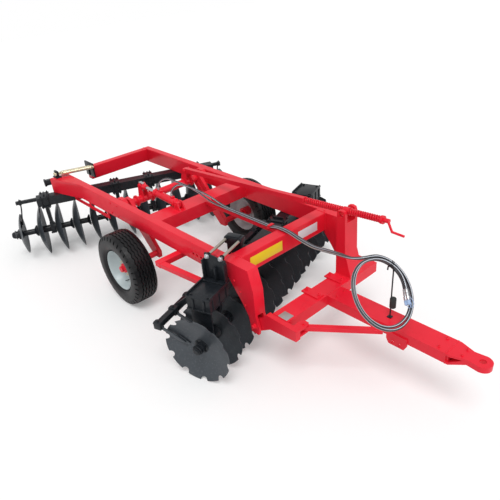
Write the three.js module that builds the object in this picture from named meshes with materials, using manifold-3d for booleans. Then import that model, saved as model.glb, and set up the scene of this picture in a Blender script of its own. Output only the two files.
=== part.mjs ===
// Offset disc harrow: a trailed frame over two disc gangs, with two transport wheels on a
// rockshaft that a hydraulic cylinder turns and a drawbar that a level rod keeps level.
// Units are millimetres, +X towards the hitch, +Y to the machine's left, +Z up.
import * as THREE from 'three';
import { mergeVertices } from 'three/addons/utils/BufferGeometryUtils.js';
import Module from 'manifold-3d';

const wasm = await Module();
wasm.setup();

// ---------- driving dimensions ----------
const SEAT_GAP = 0.3;             // between faces that rest on each other
const RUNNING_GAP = 6;            // between parts that pass each other
const PIN_GAP = 0.7;              // radial, between a pin and its bore

const FRAME_TOP = 986;            // height of the main frame's top
const FRAME_WIDTH = 1384;         // over the side beams
const BEAM_WIDTH = 90;
const BEAM_HEIGHT = 196;
const REAR_FACE_X = -1859;        // rear face of the rear crossbeam
const REAR_BEAM_DEPTH = 100;
const REAR_BEAM_RIGHT_Y = -305;   // where the rear crossbeam ends on the right
const FRONT_BEAM_BACK_X = 1456;
const FRONT_BEAM_DEPTH = 126;
const FRONT_BEAM_HEIGHT = 196;
const CROSSMEMBER_X = 120;
const CROSSMEMBER_DEPTH = 230;
const CROSSMEMBER_TOP = 966;
const CROSSMEMBER_HEIGHT = 148;

const LEG_WIDTH = 118;            // front legs, across the machine
const CHEEK_THICKNESS = 26;       // of a leg's fork at its foot
const FOOT_PIVOT = new THREE.Vector3(1827, 0, 430);
const FOOT_PIN_RADIUS = 25;

const CROSSBAR_X = 1980;
const CROSSBAR_DEPTH = 180;
const CROSSBAR_HEIGHT = 113;
const CROSSBAR_TOP = 596;
const DRAWBAR_WIDTH = 200;
const DRAWBAR_HEIGHT = 96;
const DRAWBAR_END_X = 3300;
const TONGUE_PLATE = 20;
const TONGUE_SHOULDER = 24;      // of the tongue's plates, before their taper
const TONGUE_NECK_X = 3446;
const TONGUE_NECK_HALF = 60;
const EYE_X = 3538;
const EYE_RADIUS = 72;
const EYE_THICKNESS = 50;
const EYE_BORE_RADIUS = 26;

const MAST_Y = 333;
const MAST_WIDTH = 180;
const MAST_TOP = 1262;
const TRUNNION = new THREE.Vector3(2035, MAST_Y, 1230);
const TRUNNION_PIN_RADIUS = 15;
const TRUNNION_DRIFT = 10;        // play of the open pivot around its pin

const WHEEL_RADIUS = 413.7;
const WHEEL_WIDTH = 273;
const WHEEL_RIM_RADIUS = 236;
const WHEEL_CLEARANCE = 79.5;     // between a side beam and its tyre
const AXLE_RADIUS = 34;

const ROCKSHAFT = new THREE.Vector3(-462.5, 0, 892.5);
const ROCKSHAFT_RADIUS = 45;
const WHEEL_ARM_Y = 500;
const WHEEL_ARM_THICKNESS = 44;
const LEVER_THICKNESS = 16;
const LEVEL_ROD_PIN = new THREE.Vector3(-430, MAST_Y, 1054);
const LEVEL_ROD_SIDE = 50;
const ROD_PIN_RADIUS = 14;

const CYLINDER_Y = -290;
const CYLINDER_ANCHOR = new THREE.Vector3(260, CYLINDER_Y, 1020);
const CYLINDER_LEVER_PIN = new THREE.Vector3(-462.5, CYLINDER_Y, 1057.5);
const CYLINDER_RADIUS = 42;
const CYLINDER_ROD_RADIUS = 20;
const CYLINDER_PIN_RADIUS = 14;
const CYLINDER_FORK_HALF = 24;       // half the gap between the lugs at either end
const CYLINDER_EYE_DRIFT = 9;     // play of the open pivot at the rod's eye

const DISC_RADIUS = 330;
const DISC_SMALL_RADIUS = 262;
const DISC_THICKNESS = 7;
const DISC_DISH = 85;
const DISC_HUB_SET = 72;          // of each hub from its disc's place, away from the rim
const GANG_AXLE_END = 105;        // how far the axle stands out past an end hub
const DISC_SPACING = 228;
const DISC_COUNT = 13;
const SPOOL_RADIUS = 46;
const GANG_AXLE_RADIUS = 24;
const GANG_BEAM_WIDTH = 140;
const GANG_BEAM_HEIGHT = 115;
const GANG_BOX_HALF = 118;          // half the depth of the boxes on the gang beam's ends
const FRONT_GANG_ANGLE = 19.2;
const REAR_GANG_ANGLE = -22.5;
const FRONT_GANG_X = 1605.5;         // right end of each gang, at its first disc
const FRONT_GANG_OVERHANG = 490;  // of that disc's centre, outside the side beam
const REAR_GANG_X = -1955.3;
const REAR_GANG_OVERHANG = 601.7;
const HANGER_BAYS_FRONT = [1, 4, 7, 10];
const HANGER_BAYS_REAR = [1, 5, 7, 10];

const HOSE_RADIUS = 11;
// Centre lines of the hoses, from the cylinder's ports to the coil.
const PORT_HEIGHT = 40;
const HOSE_ROUTES = {
  hose_a_frame: [
    [-100, -290, 1092], [-100, -290, 1112], [-93, -284, 1156], [-73, -266, 1192], [-44, -240, 1215],
    [-11, -211, 1219], [19, -185, 1207], [120, -92, 1142], [230, -20, 1072], [350, 12, 1012],
    [470, 17, 982], [620, 17, 979], [900, 17, 979], [1150, 17, 979], [1300, 17, 979],
  ],
  hose_b_frame: [
    [150, -290, 1080], [150, -290, 1100], [156, -283, 1144], [174, -264, 1180], [200, -235, 1203],
    [230, -202, 1207], [256, -172, 1195], [345, -74, 1126], [435, 2, 1058], [530, 36, 1004],
    [640, 43, 981], [780, 43, 979], [1000, 43, 979], [1150, 43, 979], [1300, 43, 979],
  ],
  hose_a_free: [
    [1300.3, 17, 979], [1360, 17, 980], [1460, 16, 1000], [1600, 8, 1002], [1760, -14, 990],
    [1960, -50, 996], [2160, -100, 1052], [2340, -152, 1120], [2480, -196, 1166], [2597.2, -229, 1195.4],
  ],
  hose_b_free: [
    [1300.3, 43, 979], [1360, 43, 980], [1460, 42, 1000], [1600, 34, 1002], [1760, 12, 990],
    [1960, -24, 996], [2160, -74, 1052], [2340, -124, 1120], [2480, -166, 1166], [2598.8, -199, 1196],
  ],
};

// ---------- values that follow ----------
const outerY = FRAME_WIDTH / 2;
const innerY = outerY - BEAM_WIDTH;
const frameBottom = FRAME_TOP - BEAM_HEIGHT;
const gangBeamTop = frameBottom - SEAT_GAP;
const frontGangStart = new THREE.Vector3(FRONT_GANG_X, -outerY - FRONT_GANG_OVERHANG, DISC_RADIUS);
const rearGangStart = new THREE.Vector3(REAR_GANG_X, -outerY - REAR_GANG_OVERHANG, DISC_RADIUS);
const wheelY = outerY + WHEEL_CLEARANCE + WHEEL_WIDTH / 2;
const legInnerY = outerY - LEG_WIDTH;
const armInnerY = legInnerY + CHEEK_THICKNESS + RUNNING_GAP;
const armOuterY = outerY - CHEEK_THICKNESS - RUNNING_GAP;
const crossbarEndY = armInnerY - SEAT_GAP;
const crossbarBottom = CROSSBAR_TOP - CROSSBAR_HEIGHT;
const crossbarFrontX = CROSSBAR_X + CROSSBAR_DEPTH;
const crossmemberFrontX = CROSSMEMBER_X + CROSSMEMBER_DEPTH;
const frontBeamFaceX = FRONT_BEAM_BACK_X + FRONT_BEAM_DEPTH;

// ---------- materials ----------
function paint(color, roughness, metalness) {
  return new THREE.MeshStandardMaterial({ color, roughness, metalness });
}
const RED = paint(0xc4101c, 0.38, 0.1);
const BLACK = paint(0x23262a, 0.5, 0.15);
const DISC_STEEL = paint(0x34383c, 0.45, 0.5);
const RUBBER = paint(0x1b1b1c, 0.85, 0.0);
const RIM_GREY = paint(0x9b9d9e, 0.45, 0.3);
const ZINC = paint(0xb79a4a, 0.35, 0.8);
const STEEL = paint(0xa9abad, 0.3, 0.9);
const HOSE = paint(0x4a4d50, 0.6, 0.1);

// ---------- shape helpers ----------
function solid(geometry) {
  const bare = geometry.clone();
  bare.deleteAttribute('normal');
  bare.deleteAttribute('uv');
  const merged = mergeVertices(bare, 1e-3);
  return new wasm.Manifold(new wasm.Mesh({
    numProp: 3,
    vertProperties: new Float32Array(merged.attributes.position.array),
    triVerts: new Uint32Array(merged.index.array),
  }));
}

function join(...geometries) {
  const whole = geometries.map(solid).reduce((sum, piece) => sum.add(piece));
  return toGeometry(whole);
}

function cut(base, ...tools) {
  const rest = tools.map(solid).reduce((sum, tool) => sum.subtract(tool), solid(base));
  return toGeometry(rest);
}

function common(first, second) {
  return toGeometry(solid(first).intersect(solid(second)));
}

function toGeometry(manifold) {
  const mesh = manifold.getMesh();
  const geometry = new THREE.BufferGeometry();
  geometry.setAttribute('position', new THREE.BufferAttribute(mesh.vertProperties, 3));
  geometry.setIndex(new THREE.BufferAttribute(mesh.triVerts, 1));
  geometry.computeVertexNormals();
  return geometry;
}

function box(x0, x1, y0, y1, z0, z1) {
  const geometry = new THREE.BoxGeometry(x1 - x0, y1 - y0, z1 - z0);
  return geometry.translate((x0 + x1) / 2, (y0 + y1) / 2, (z0 + z1) / 2);
}

// A plate with its outline in the XZ plane, from y0 to y1.
function plateXZ(points, y0, y1) {
  const shape = new THREE.Shape(points.map(([x, z]) => new THREE.Vector2(x, z)));
  const geometry = new THREE.ExtrudeGeometry(shape, { depth: y1 - y0, bevelEnabled: false });
  return geometry.rotateX(Math.PI / 2).translate(0, y1, 0);
}

// A plate with its outline in the XY plane, from z0 to z1.
function plateXY(points, z0, z1) {
  const shape = new THREE.Shape(points.map(([x, y]) => new THREE.Vector2(x, y)));
  const geometry = new THREE.ExtrudeGeometry(shape, { depth: z1 - z0, bevelEnabled: false });
  return geometry.translate(0, 0, z0);
}

function roundBetween(from, to, radius, segments = 16) {
  const span = new THREE.Vector3().subVectors(to, from);
  const geometry = new THREE.CylinderGeometry(radius, radius, span.length(), segments);
  const turn = new THREE.Quaternion().setFromUnitVectors(new THREE.Vector3(0, 1, 0), span.clone().normalize());
  geometry.applyQuaternion(turn);
  const middle = new THREE.Vector3().addVectors(from, to).multiplyScalar(0.5);
  return geometry.translate(middle.x, middle.y, middle.z);
}

function squareBetween(from, to, width, height) {
  const span = new THREE.Vector3().subVectors(to, from);
  const geometry = new THREE.BoxGeometry(span.length(), width, height);
  const pitch = Math.atan2(span.z, Math.hypot(span.x, span.y));
  geometry.rotateY(-pitch).rotateZ(Math.atan2(span.y, span.x));
  const middle = new THREE.Vector3().addVectors(from, to).multiplyScalar(0.5);
  return geometry.translate(middle.x, middle.y, middle.z);
}

function roundY(x, z, y0, y1, radius, segments = 24) {
  return roundBetween(new THREE.Vector3(x, y0, z), new THREE.Vector3(x, y1, z), radius, segments);
}

function tube(points, radius, steps, sides = 8) {
  const path = new THREE.CatmullRomCurve3(points.map((p) => new THREE.Vector3(...p)));
  const ring = [];
  for (let i = 0; i < sides; i += 1) {
    const angle = (2 * Math.PI * i) / sides;
    ring.push(new THREE.Vector2(radius * Math.cos(angle), radius * Math.sin(angle)));
  }
  return new THREE.ExtrudeGeometry(new THREE.Shape(ring), { steps, extrudePath: path, bevelEnabled: false });
}

const model = new THREE.Group();
function place(name, geometry, material, parent = model) {
  const mesh = new THREE.Mesh(geometry, material);
  mesh.name = name;
  parent.add(mesh);
  return mesh;
}

function pivotGroup(name, point, parent = model) {
  const group = new THREE.Group();
  group.name = name;
  group.position.copy(point);
  parent.add(group);
  return group;
}

// ---------- main frame ----------
const RIGHT_BEAM_REAR_X = -1830;
const FLARE_START_X = -1290;      // the right beam widens outwards from here to its rear end
const FLARE_WIDTH = 150;

function addSideBeams() {
  const frontX = FRONT_BEAM_BACK_X - SEAT_GAP;
  place('frame_side_beam_left', box(REAR_FACE_X, frontX, innerY, outerY, frameBottom, FRAME_TOP), RED);
  const straight = box(RIGHT_BEAM_REAR_X, frontX, -outerY, -innerY, frameBottom, FRAME_TOP);
  const flare = plateXY([
    [FLARE_START_X, -outerY + 5],
    [RIGHT_BEAM_REAR_X, -outerY + 5],
    [RIGHT_BEAM_REAR_X, -outerY - FLARE_WIDTH],
    [FLARE_START_X, -outerY],
  ], frameBottom, FRAME_TOP);
  place('frame_side_beam_right', join(straight, flare), RED);
}

const REAR_BEAM_HEIGHT = 172;
function addRearCrossbeam() {
  place('frame_rear_crossbeam', box(REAR_FACE_X, REAR_FACE_X + REAR_BEAM_DEPTH, REAR_BEAM_RIGHT_Y,
    innerY - SEAT_GAP, FRAME_TOP - REAR_BEAM_HEIGHT, FRAME_TOP), RED);
}

function addFrontCrossbeam() {
  const endY = legInnerY - SEAT_GAP;
  place('frame_front_crossbeam', box(FRONT_BEAM_BACK_X, frontBeamFaceX, -endY, endY,
    FRAME_TOP - FRONT_BEAM_HEIGHT, FRAME_TOP), RED);
}

// A front leg reaches forward and down from the beam's end to a fork that holds the foot pin.
function addFrontLeg(name, side) {
  const y0 = side > 0 ? legInnerY : -outerY;
  const y1 = side > 0 ? outerY : -legInnerY;
  const foot = FOOT_PIVOT;
  const outline = [
    [FRONT_BEAM_BACK_X, FRAME_TOP],
    [FRONT_BEAM_BACK_X, FRAME_TOP - 86],
    [foot.x - 151, foot.z + 190],
    [foot.x - 71, foot.z + 70],
    [foot.x - 46, foot.z - 85],
    [foot.x + 43, foot.z - 85],
    [foot.x + 58, foot.z - 10],
    [foot.x + 19, foot.z + 98],
    [foot.x + 14, foot.z + 358],
    [foot.x - 42, FRAME_TOP],
  ];
  const slotY0 = y0 + CHEEK_THICKNESS;
  const slotY1 = y1 - CHEEK_THICKNESS;
  const slot = box(foot.x - 200, foot.x + 200, slotY0, slotY1, foot.z - 200, foot.z + 105);
  const fork = cut(plateXZ(outline, y0, y1), slot);
  const pin = roundY(foot.x, foot.z, y0 - 14, y1 + 14, FOOT_PIN_RADIUS);
  place(name, join(fork, pin), RED);
}

const BEARING_WIDTH = 56;
function addCrossmember() {
  const endY = innerY - SEAT_GAP;
  const beam = box(CROSSMEMBER_X, crossmemberFrontX, -endY, endY,
    CROSSMEMBER_TOP - CROSSMEMBER_HEIGHT, CROSSMEMBER_TOP);
  const lug = (y) => plateXZ([
    [CYLINDER_ANCHOR.x - 34, CROSSMEMBER_TOP - 5],
    [CYLINDER_ANCHOR.x + 70, CROSSMEMBER_TOP - 5],
    [CYLINDER_ANCHOR.x + 30, CYLINDER_ANCHOR.z + 32],
    [CYLINDER_ANCHOR.x - 30, CYLINDER_ANCHOR.z + 32],
  ], y, y + LEVER_THICKNESS);
  const eyeHalf = CYLINDER_FORK_HALF;
  const pin = roundY(CYLINDER_ANCHOR.x, CYLINDER_ANCHOR.z, CYLINDER_Y - eyeHalf - LEVER_THICKNESS - 8,
    CYLINDER_Y + eyeHalf + LEVER_THICKNESS + 8, CYLINDER_PIN_RADIUS, 16);
  place('frame_crossmember', join(beam, lug(CYLINDER_Y - eyeHalf - LEVER_THICKNESS), lug(CYLINDER_Y + eyeHalf), pin),
    RED);
}

function addRockshaftBearing(name, side) {
  const yOuter = innerY - SEAT_GAP;
  const yInner = yOuter - BEARING_WIDTH;
  const [y0, y1] = side > 0 ? [yInner, yOuter] : [-yOuter, -yInner];
  const block = plateXZ([
    [ROCKSHAFT.x - 95, frameBottom + 12],
    [ROCKSHAFT.x + 95, frameBottom + 12],
    [ROCKSHAFT.x + 95, ROCKSHAFT.z + 40],
    [ROCKSHAFT.x + 50, FRAME_TOP + 4],
    [ROCKSHAFT.x - 50, FRAME_TOP + 4],
    [ROCKSHAFT.x - 95, ROCKSHAFT.z + 40],
  ], y0, y1);
  const bore = roundY(ROCKSHAFT.x, ROCKSHAFT.z, y0 - 5, y1 + 5, ROCKSHAFT_RADIUS + PIN_GAP);
  place(name, cut(block, bore), RED);
}

const SUPPORT_BAR_Y = 30;
const SUPPORT_BAR_SIDE = 40;
function addHoseSupportBar() {
  const bar = box(crossmemberFrontX + SEAT_GAP, FRONT_BEAM_BACK_X - SEAT_GAP, SUPPORT_BAR_Y - SUPPORT_BAR_SIDE / 2,
    SUPPORT_BAR_Y + SUPPORT_BAR_SIDE / 2, CROSSMEMBER_TOP - SUPPORT_BAR_SIDE, CROSSMEMBER_TOP);
  place('hose_support_bar', bar, RED);
}

const OUTRIGGER_X = 720;
const OUTRIGGER_DEPTH = 80;
const OUTRIGGER_REACH = 258;
const OUTRIGGER_HEIGHT = 55;
const BRACE_REACH_BACK = 226;     // of the brace's ends, outside the side beam
const BRACE_REACH_FRONT = 154;
// The room taken by the front gang's outer end box, with the seating gap behind it.
function frontGangBoxSpace() {
  const space = box(-GANG_BOX_HALF - SEAT_GAP, GANG_BOX_HALF, 0, 600, 0, 600);
  const { x, y, z } = frontGangStart;
  return space.rotateZ(THREE.MathUtils.degToRad(FRONT_GANG_ANGLE)).translate(x, y, z);
}

function addOutrigger() {
  const top = frameBottom - SEAT_GAP;
  const arm = box(OUTRIGGER_X, OUTRIGGER_X + OUTRIGGER_DEPTH, -outerY - OUTRIGGER_REACH, -innerY,
    top - OUTRIGGER_HEIGHT, top);
  const from = new THREE.Vector3(OUTRIGGER_X + OUTRIGGER_DEPTH - 20, -outerY - BRACE_REACH_BACK, top - OUTRIGGER_HEIGHT / 2);
  const to = new THREE.Vector3(1400, -outerY - BRACE_REACH_FRONT, from.z);
  const brace = cut(squareBetween(from, to, 62, 46), frontGangBoxSpace());
  place('gang_outrigger_right', join(arm, brace), RED);
}

function addRearBrace() {
  const y0 = -outerY + 6;
  const y1 = y0 + 14;
  const bar = box(-1560, -660, y0, y1, 706, 748);
  const spacers = [-1540, -1150, -700].map((x) => box(x, x + 34, y0, y1, 747, frameBottom - SEAT_GAP));
  place('rear_gang_brace_right', join(bar, ...spacers), RED);
}

// ---------- wheels ----------
// Profiles are [radius, height along the axle] pairs, turned about the axle.
function turned(profile, segments) {
  return new THREE.LatheGeometry(profile.map(([r, h]) => new THREE.Vector2(r, h)), segments);
}

function tyreProfile() {
  const half = WHEEL_WIDTH / 2;
  const tread = WHEEL_RADIUS;
  const bead = WHEEL_RIM_RADIUS - 8;
  return [
    [bead, -half * 0.72],
    [bead + 42, -half * 0.94],
    [tread - 92, -half],
    [tread - 30, -half * 0.92],
    [tread - 4, -half * 0.76],
    [tread, -half * 0.4],
    [tread, half * 0.4],
    [tread - 4, half * 0.76],
    [tread - 30, half * 0.92],
    [tread - 92, half],
    [bead + 42, half * 0.94],
    [bead, half * 0.72],
    [bead, -half * 0.72],
  ];
}

// The dish is set towards the outer face (positive height) and the hub stands out through it.
function rimProfile() {
  const half = WHEEL_WIDTH / 2;
  const seat = WHEEL_RIM_RADIUS - 8 - SEAT_GAP;
  const bore = AXLE_RADIUS + PIN_GAP;
  return [
    [bore, -half * 0.30],
    [78, -half * 0.30],
    [78, half * 0.12],
    [150, half * 0.12],
    [seat - 22, half * 0.05],
    [seat - 22, -half * 0.70],
    [seat, -half * 0.72],
    [seat, half * 0.72],
    [seat - 14, half * 0.74],
    [seat - 16, half * 0.26],
    [150, half * 0.24],
    [66, half * 0.24],
    [60, half * 0.62],
    [bore, half * 0.62],
    [bore, -half * 0.30],
  ];
}

function addWheel(side, parent, axle) {
  const word = side > 0 ? 'left' : 'right';
  const hub = pivotGroup(`${word}_wheel`, new THREE.Vector3(0, side * wheelY, 0).add(axle), parent);
  const turn = side > 0 ? 0 : Math.PI;
  const tyre = turned(tyreProfile(), 36).rotateX(turn);
  const rim = turned(rimProfile(), 36).rotateX(turn);
  place(`${word}_tyre`, tyre, RUBBER, hub);
  place(`${word}_rim`, rim, RIM_GREY, hub);
}

// ---------- rockshaft: torque tube, levers, wheel arms and axle stubs ----------
function addRockshaft() {
  const body = pivotGroup('rockshaft_pivot', ROCKSHAFT);
  const local = (point) => new THREE.Vector3().subVectors(point, ROCKSHAFT);
  const axle = local(new THREE.Vector3(0, 0, WHEEL_RADIUS));
  const tubeEnd = innerY - SEAT_GAP - 4;
  const lever = (pin, y) => plateXZ([
    [-60, -20],
    [60, -20],
    [pin.x + 26, pin.z + 10],
    [pin.x + 10, pin.z + 26],
    [pin.x - 10, pin.z + 26],
    [pin.x - 26, pin.z + 10],
  ], y, y + LEVER_THICKNESS);
  const rodPin = local(LEVEL_ROD_PIN);
  const rodHalf = LEVEL_ROD_SIDE / 2 + RUNNING_GAP;
  const cylinderPin = local(CYLINDER_LEVER_PIN);
  const cylinderHalf = CYLINDER_FORK_HALF;
  const shaft = roundY(0, 0, -tubeEnd, tubeEnd, ROCKSHAFT_RADIUS);
  const forkPin = (pin, y, half, radius) => roundY(pin.x, pin.z, y - half - LEVER_THICKNESS - 6,
    y + half + LEVER_THICKNESS + 6, radius, 16);
  place('rockshaft_tube', join(
    shaft,
    lever(rodPin, MAST_Y + rodHalf),
    lever(rodPin, MAST_Y - rodHalf - LEVER_THICKNESS),
    forkPin(rodPin, MAST_Y, rodHalf, ROD_PIN_RADIUS),
    lever(cylinderPin, CYLINDER_Y + cylinderHalf),
    lever(cylinderPin, CYLINDER_Y - cylinderHalf - LEVER_THICKNESS),
    forkPin(cylinderPin, CYLINDER_Y, cylinderHalf, CYLINDER_PIN_RADIUS),
  ), RED, body);
  for (const side of [1, -1]) {
    const word = side > 0 ? 'left' : 'right';
    addWheelArm(`wheel_arm_${word}`, side, axle, body);
    addWheel(side, body, axle);
  }
}

function addWheelArm(name, side, axle, parent) {
  const half = WHEEL_ARM_THICKNESS / 2;
  const y0 = side * WHEEL_ARM_Y - half;
  const y1 = side * WHEEL_ARM_Y + half;
  const arm = plateXZ([
    [-78, 10],
    [-30, 78],
    [60, 74],
    [axle.x + 52, axle.z + 30],
    [axle.x + 46, axle.z - 46],
    [axle.x - 50, axle.z - 50],
    [-70, -60],
  ], y0, y1);
  const bore = roundY(0, 0, y0 - 5, y1 + 5, ROCKSHAFT_RADIUS + SEAT_GAP);
  const hubOuter = wheelY + WHEEL_WIDTH * 0.31 - 2;
  const stub = roundY(axle.x, axle.z, Math.min(side * (WHEEL_ARM_Y - 20), side * hubOuter),
    Math.max(side * (WHEEL_ARM_Y - 20), side * hubOuter), AXLE_RADIUS, 20);
  const collarY = side * (wheelY - WHEEL_WIDTH * 0.15 - 2);
  const collar = roundY(axle.x, axle.z, Math.min(collarY, collarY - side * 26), Math.max(collarY, collarY - side * 26),
    AXLE_RADIUS + 24, 20);
  place(name, join(cut(arm, bore), stub, collar), RED, parent);
}

// ---------- hydraulic cylinder ----------
function addCylinder() {
  const barrelPivot = pivotGroup('cylinder_pivot', CYLINDER_ANCHOR);
  const reach = new THREE.Vector3().subVectors(CYLINDER_LEVER_PIN, CYLINDER_ANCHOR);
  const length = reach.length();
  const pitch = Math.atan2(reach.z - 6, -reach.x);
  const eyeHalf = 18;
  const barrelEnd = length * 0.58;
  // Built along -X, then pitched up to point at the lever's pin.
  const barrel = roundBetween(new THREE.Vector3(-44, 0, 0), new THREE.Vector3(-barrelEnd, 0, 0), CYLINDER_RADIUS, 24);
  const gland = roundBetween(new THREE.Vector3(-barrelEnd - 16, 0, 0), new THREE.Vector3(-barrelEnd + 26, 0, 0),
    CYLINDER_RADIUS + 7, 24);
  const baseEye = box(-60, 22, -eyeHalf, eyeHalf, -26, 26);
  const baseBore = roundY(0, 0, -40, 40, CYLINDER_PIN_RADIUS + PIN_GAP, 16);
  const rodBore = roundBetween(new THREE.Vector3(-barrelEnd - 40, 0, 0), new THREE.Vector3(-110, 0, 0),
    CYLINDER_ROD_RADIUS + PIN_GAP, 16);
  // Each hose port stands up from the barrel under the first point of its hose.
  const port = ([x, , z]) => {
    const [dx, dz] = [x - CYLINDER_ANCHOR.x, z - CYLINDER_ANCHOR.z - SEAT_GAP];
    const top = new THREE.Vector3(dx, 0, dz).applyAxisAngle(new THREE.Vector3(0, 1, 0), -pitch);
    const foot = new THREE.Vector3(dx, 0, dz - PORT_HEIGHT).applyAxisAngle(new THREE.Vector3(0, 1, 0), -pitch);
    return roundBetween(foot, top, HOSE_RADIUS + 4, 12);
  };
  const ports = [HOSE_ROUTES.hose_a_frame[0], HOSE_ROUTES.hose_b_frame[0]].map(port);
  const barrelSolid = cut(join(barrel, gland, baseEye, ...ports), baseBore, rodBore);
  place('cylinder_barrel', barrelSolid.rotateY(pitch), RED, barrelPivot);
  const rod = roundBetween(new THREE.Vector3(-length + 24, 0, 0), new THREE.Vector3(-length * 0.36, 0, 0),
    CYLINDER_ROD_RADIUS, 16);
  const eye = box(-length - 40, -length + 40, -eyeHalf, eyeHalf, -38, 38);
  const eyeBore = roundY(-length, 0, -40, 40, CYLINDER_PIN_RADIUS + CYLINDER_EYE_DRIFT, 20);
  place('cylinder_rod', cut(join(rod, eye), eyeBore).rotateY(pitch), STEEL, barrelPivot);
}

// ---------- level rod: square tube, screw, springs either side of the trunnion, crank ----------
function addLevelRod() {
  const body = pivotGroup('level_rod_pivot', LEVEL_ROD_PIN);
  const target = new THREE.Vector3().subVectors(TRUNNION, LEVEL_ROD_PIN);
  const trunnionAt = Math.hypot(target.x, target.z);
  const pitch = -Math.atan2(target.z + 6, target.x);
  const side = LEVEL_ROD_SIDE / 2;
  const springRadius = 31;
  const screwRadius = 15;
  const blockHalf = 34;
  const tubeFront = trunnionAt - 500;
  const place2 = (name, geometry, material) => place(name, geometry.rotateY(pitch), material, body);
  const along = (x0, x1, r, n) => roundBetween(new THREE.Vector3(x0, 0, 0), new THREE.Vector3(x1, 0, 0), r, n);
  const rearBore = roundY(0, 0, -60, 60, ROD_PIN_RADIUS + PIN_GAP, 16);
  const square = cut(box(-30, tubeFront, -side, side, -side, side), rearBore);
  const capEnd = trunnionAt + 385;
  const crank = capEnd + 20;
  place2('level_rod', join(
    square,
    along(tubeFront - 5, crank, screwRadius, 16),
    along(capEnd - 24, capEnd, 38, 20),
    along(crank - 4, crank + 34, 20, 12),
    roundBetween(new THREE.Vector3(crank + 20, 0, 0), new THREE.Vector3(crank + 62, 0, -98), 11, 10),
    roundBetween(new THREE.Vector3(crank + 58, 0, -92), new THREE.Vector3(crank + 176, 0, -104), 11, 10),
  ), RED);
  const ring = (x0, x1, inner, outer) => cut(along(x0, x1, outer, 20), along(x0 - 5, x1 + 5, inner, 20));
  const bore = screwRadius + SEAT_GAP + 0.4;
  place2('level_spring_rear', ring(tubeFront + SEAT_GAP, trunnionAt - blockHalf - SEAT_GAP, bore, springRadius), RED);
  place2('level_spring_front', ring(trunnionAt + blockHalf + SEAT_GAP, capEnd - 24 - SEAT_GAP, bore, springRadius), RED);
  const pins = roundY(trunnionAt, 0, -MAST_WIDTH / 2 + 8, MAST_WIDTH / 2 - 8, TRUNNION_PIN_RADIUS, 16);
  const block = along(trunnionAt - blockHalf, trunnionAt + blockHalf, 36, 20);
  place2('trunnion_block', cut(join(block, pins), along(trunnionAt - 60, trunnionAt + 60, bore, 20)), RED);
}

// ---------- drawbar assembly, hinged at the legs' feet ----------
function addDrawbar() {
  const body = pivotGroup('drawbar_pivot', FOOT_PIVOT);
  const set = (name, geometry, material) => {
    const { x, y, z } = FOOT_PIVOT;
    return place(name, geometry.translate(-x, -y, -z), material, body);
  };
  for (const side of [1, -1]) {
    set(`drawbar_arm_${side > 0 ? 'left' : 'right'}`, armShape(side), RED);
  }
  set('lower_crossbar', crossbarShape(), RED);
  set('mast', mastShape(), RED);
  set('drawbar', drawbarShape(), RED);
  set('hitch_tongue', tongueShape(), RED);
  set('drawbar_stay', stayShape(), RED);
  set('hose_stand', standShape(), STEEL);
  addCoil(set);
}

const ARM_FRONT_X = 2296;
const CLEVIS = new THREE.Vector3(2258, -524, 540);
const CLEVIS_GAP = 44;
const CLEVIS_PLATE = 14;
const CLEVIS_PIN_RADIUS = 13;
function armShape(side) {
  const foot = FOOT_PIVOT;
  const frontX = side > 0 ? crossbarFrontX : ARM_FRONT_X;
  const outline = [
    [foot.x - 57, foot.z - 25],
    [foot.x - 40, foot.z + 42],
    [foot.x + 23, foot.z + 50],
    [foot.x + 55, foot.z + 84],
    [foot.x + 120, CROSSBAR_TOP - 6],
    [frontX, CROSSBAR_TOP - 6],
    [frontX, crossbarBottom + 2],
    [CROSSBAR_X + 10, crossbarBottom - 30],
    [foot.x + 43, foot.z - 54],
    [foot.x - 22, foot.z - 58],
  ];
  const [y0, y1] = side > 0 ? [armInnerY, armOuterY] : [-armOuterY, -armInnerY];
  const bore = roundY(foot.x, foot.z, y0 - 5, y1 + 5, FOOT_PIN_RADIUS + PIN_GAP);
  const arm = cut(plateXZ(outline, y0, y1), bore);
  if (side > 0) return arm;
  const plate = (z0) => plateXY([
    [CLEVIS.x - 50, -armInnerY - 5],
    [ARM_FRONT_X, -armInnerY - 5],
    [ARM_FRONT_X, CLEVIS.y + 22],
    [CLEVIS.x + 18, CLEVIS.y + 46],
    [CLEVIS.x - 18, CLEVIS.y + 46],
    [CLEVIS.x - 50, CLEVIS.y + 16],
  ], z0, z0 + CLEVIS_PLATE);
  const low = CLEVIS.z - CLEVIS_GAP / 2 - CLEVIS_PLATE;
  const pin = roundBetween(
    new THREE.Vector3(CLEVIS.x, CLEVIS.y, low - 10),
    new THREE.Vector3(CLEVIS.x, CLEVIS.y, CLEVIS.z + CLEVIS_GAP / 2 + CLEVIS_PLATE + 12),
    CLEVIS_PIN_RADIUS,
  );
  return join(arm, plate(low), plate(CLEVIS.z + CLEVIS_GAP / 2), pin);
}

const CLAMP_OVERHANG = 34;
const CLAMP_PLATE = 14;
function crossbarShape() {
  const bar = box(CROSSBAR_X, crossbarFrontX, -crossbarEndY, crossbarEndY, crossbarBottom, CROSSBAR_TOP);
  const plates = [-205, 118].map((y) => box(CROSSBAR_X - CLAMP_OVERHANG, crossbarFrontX - 20, y, y + 86,
    CROSSBAR_TOP - 1, CROSSBAR_TOP + CLAMP_PLATE));
  return join(bar, ...plates);
}

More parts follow.
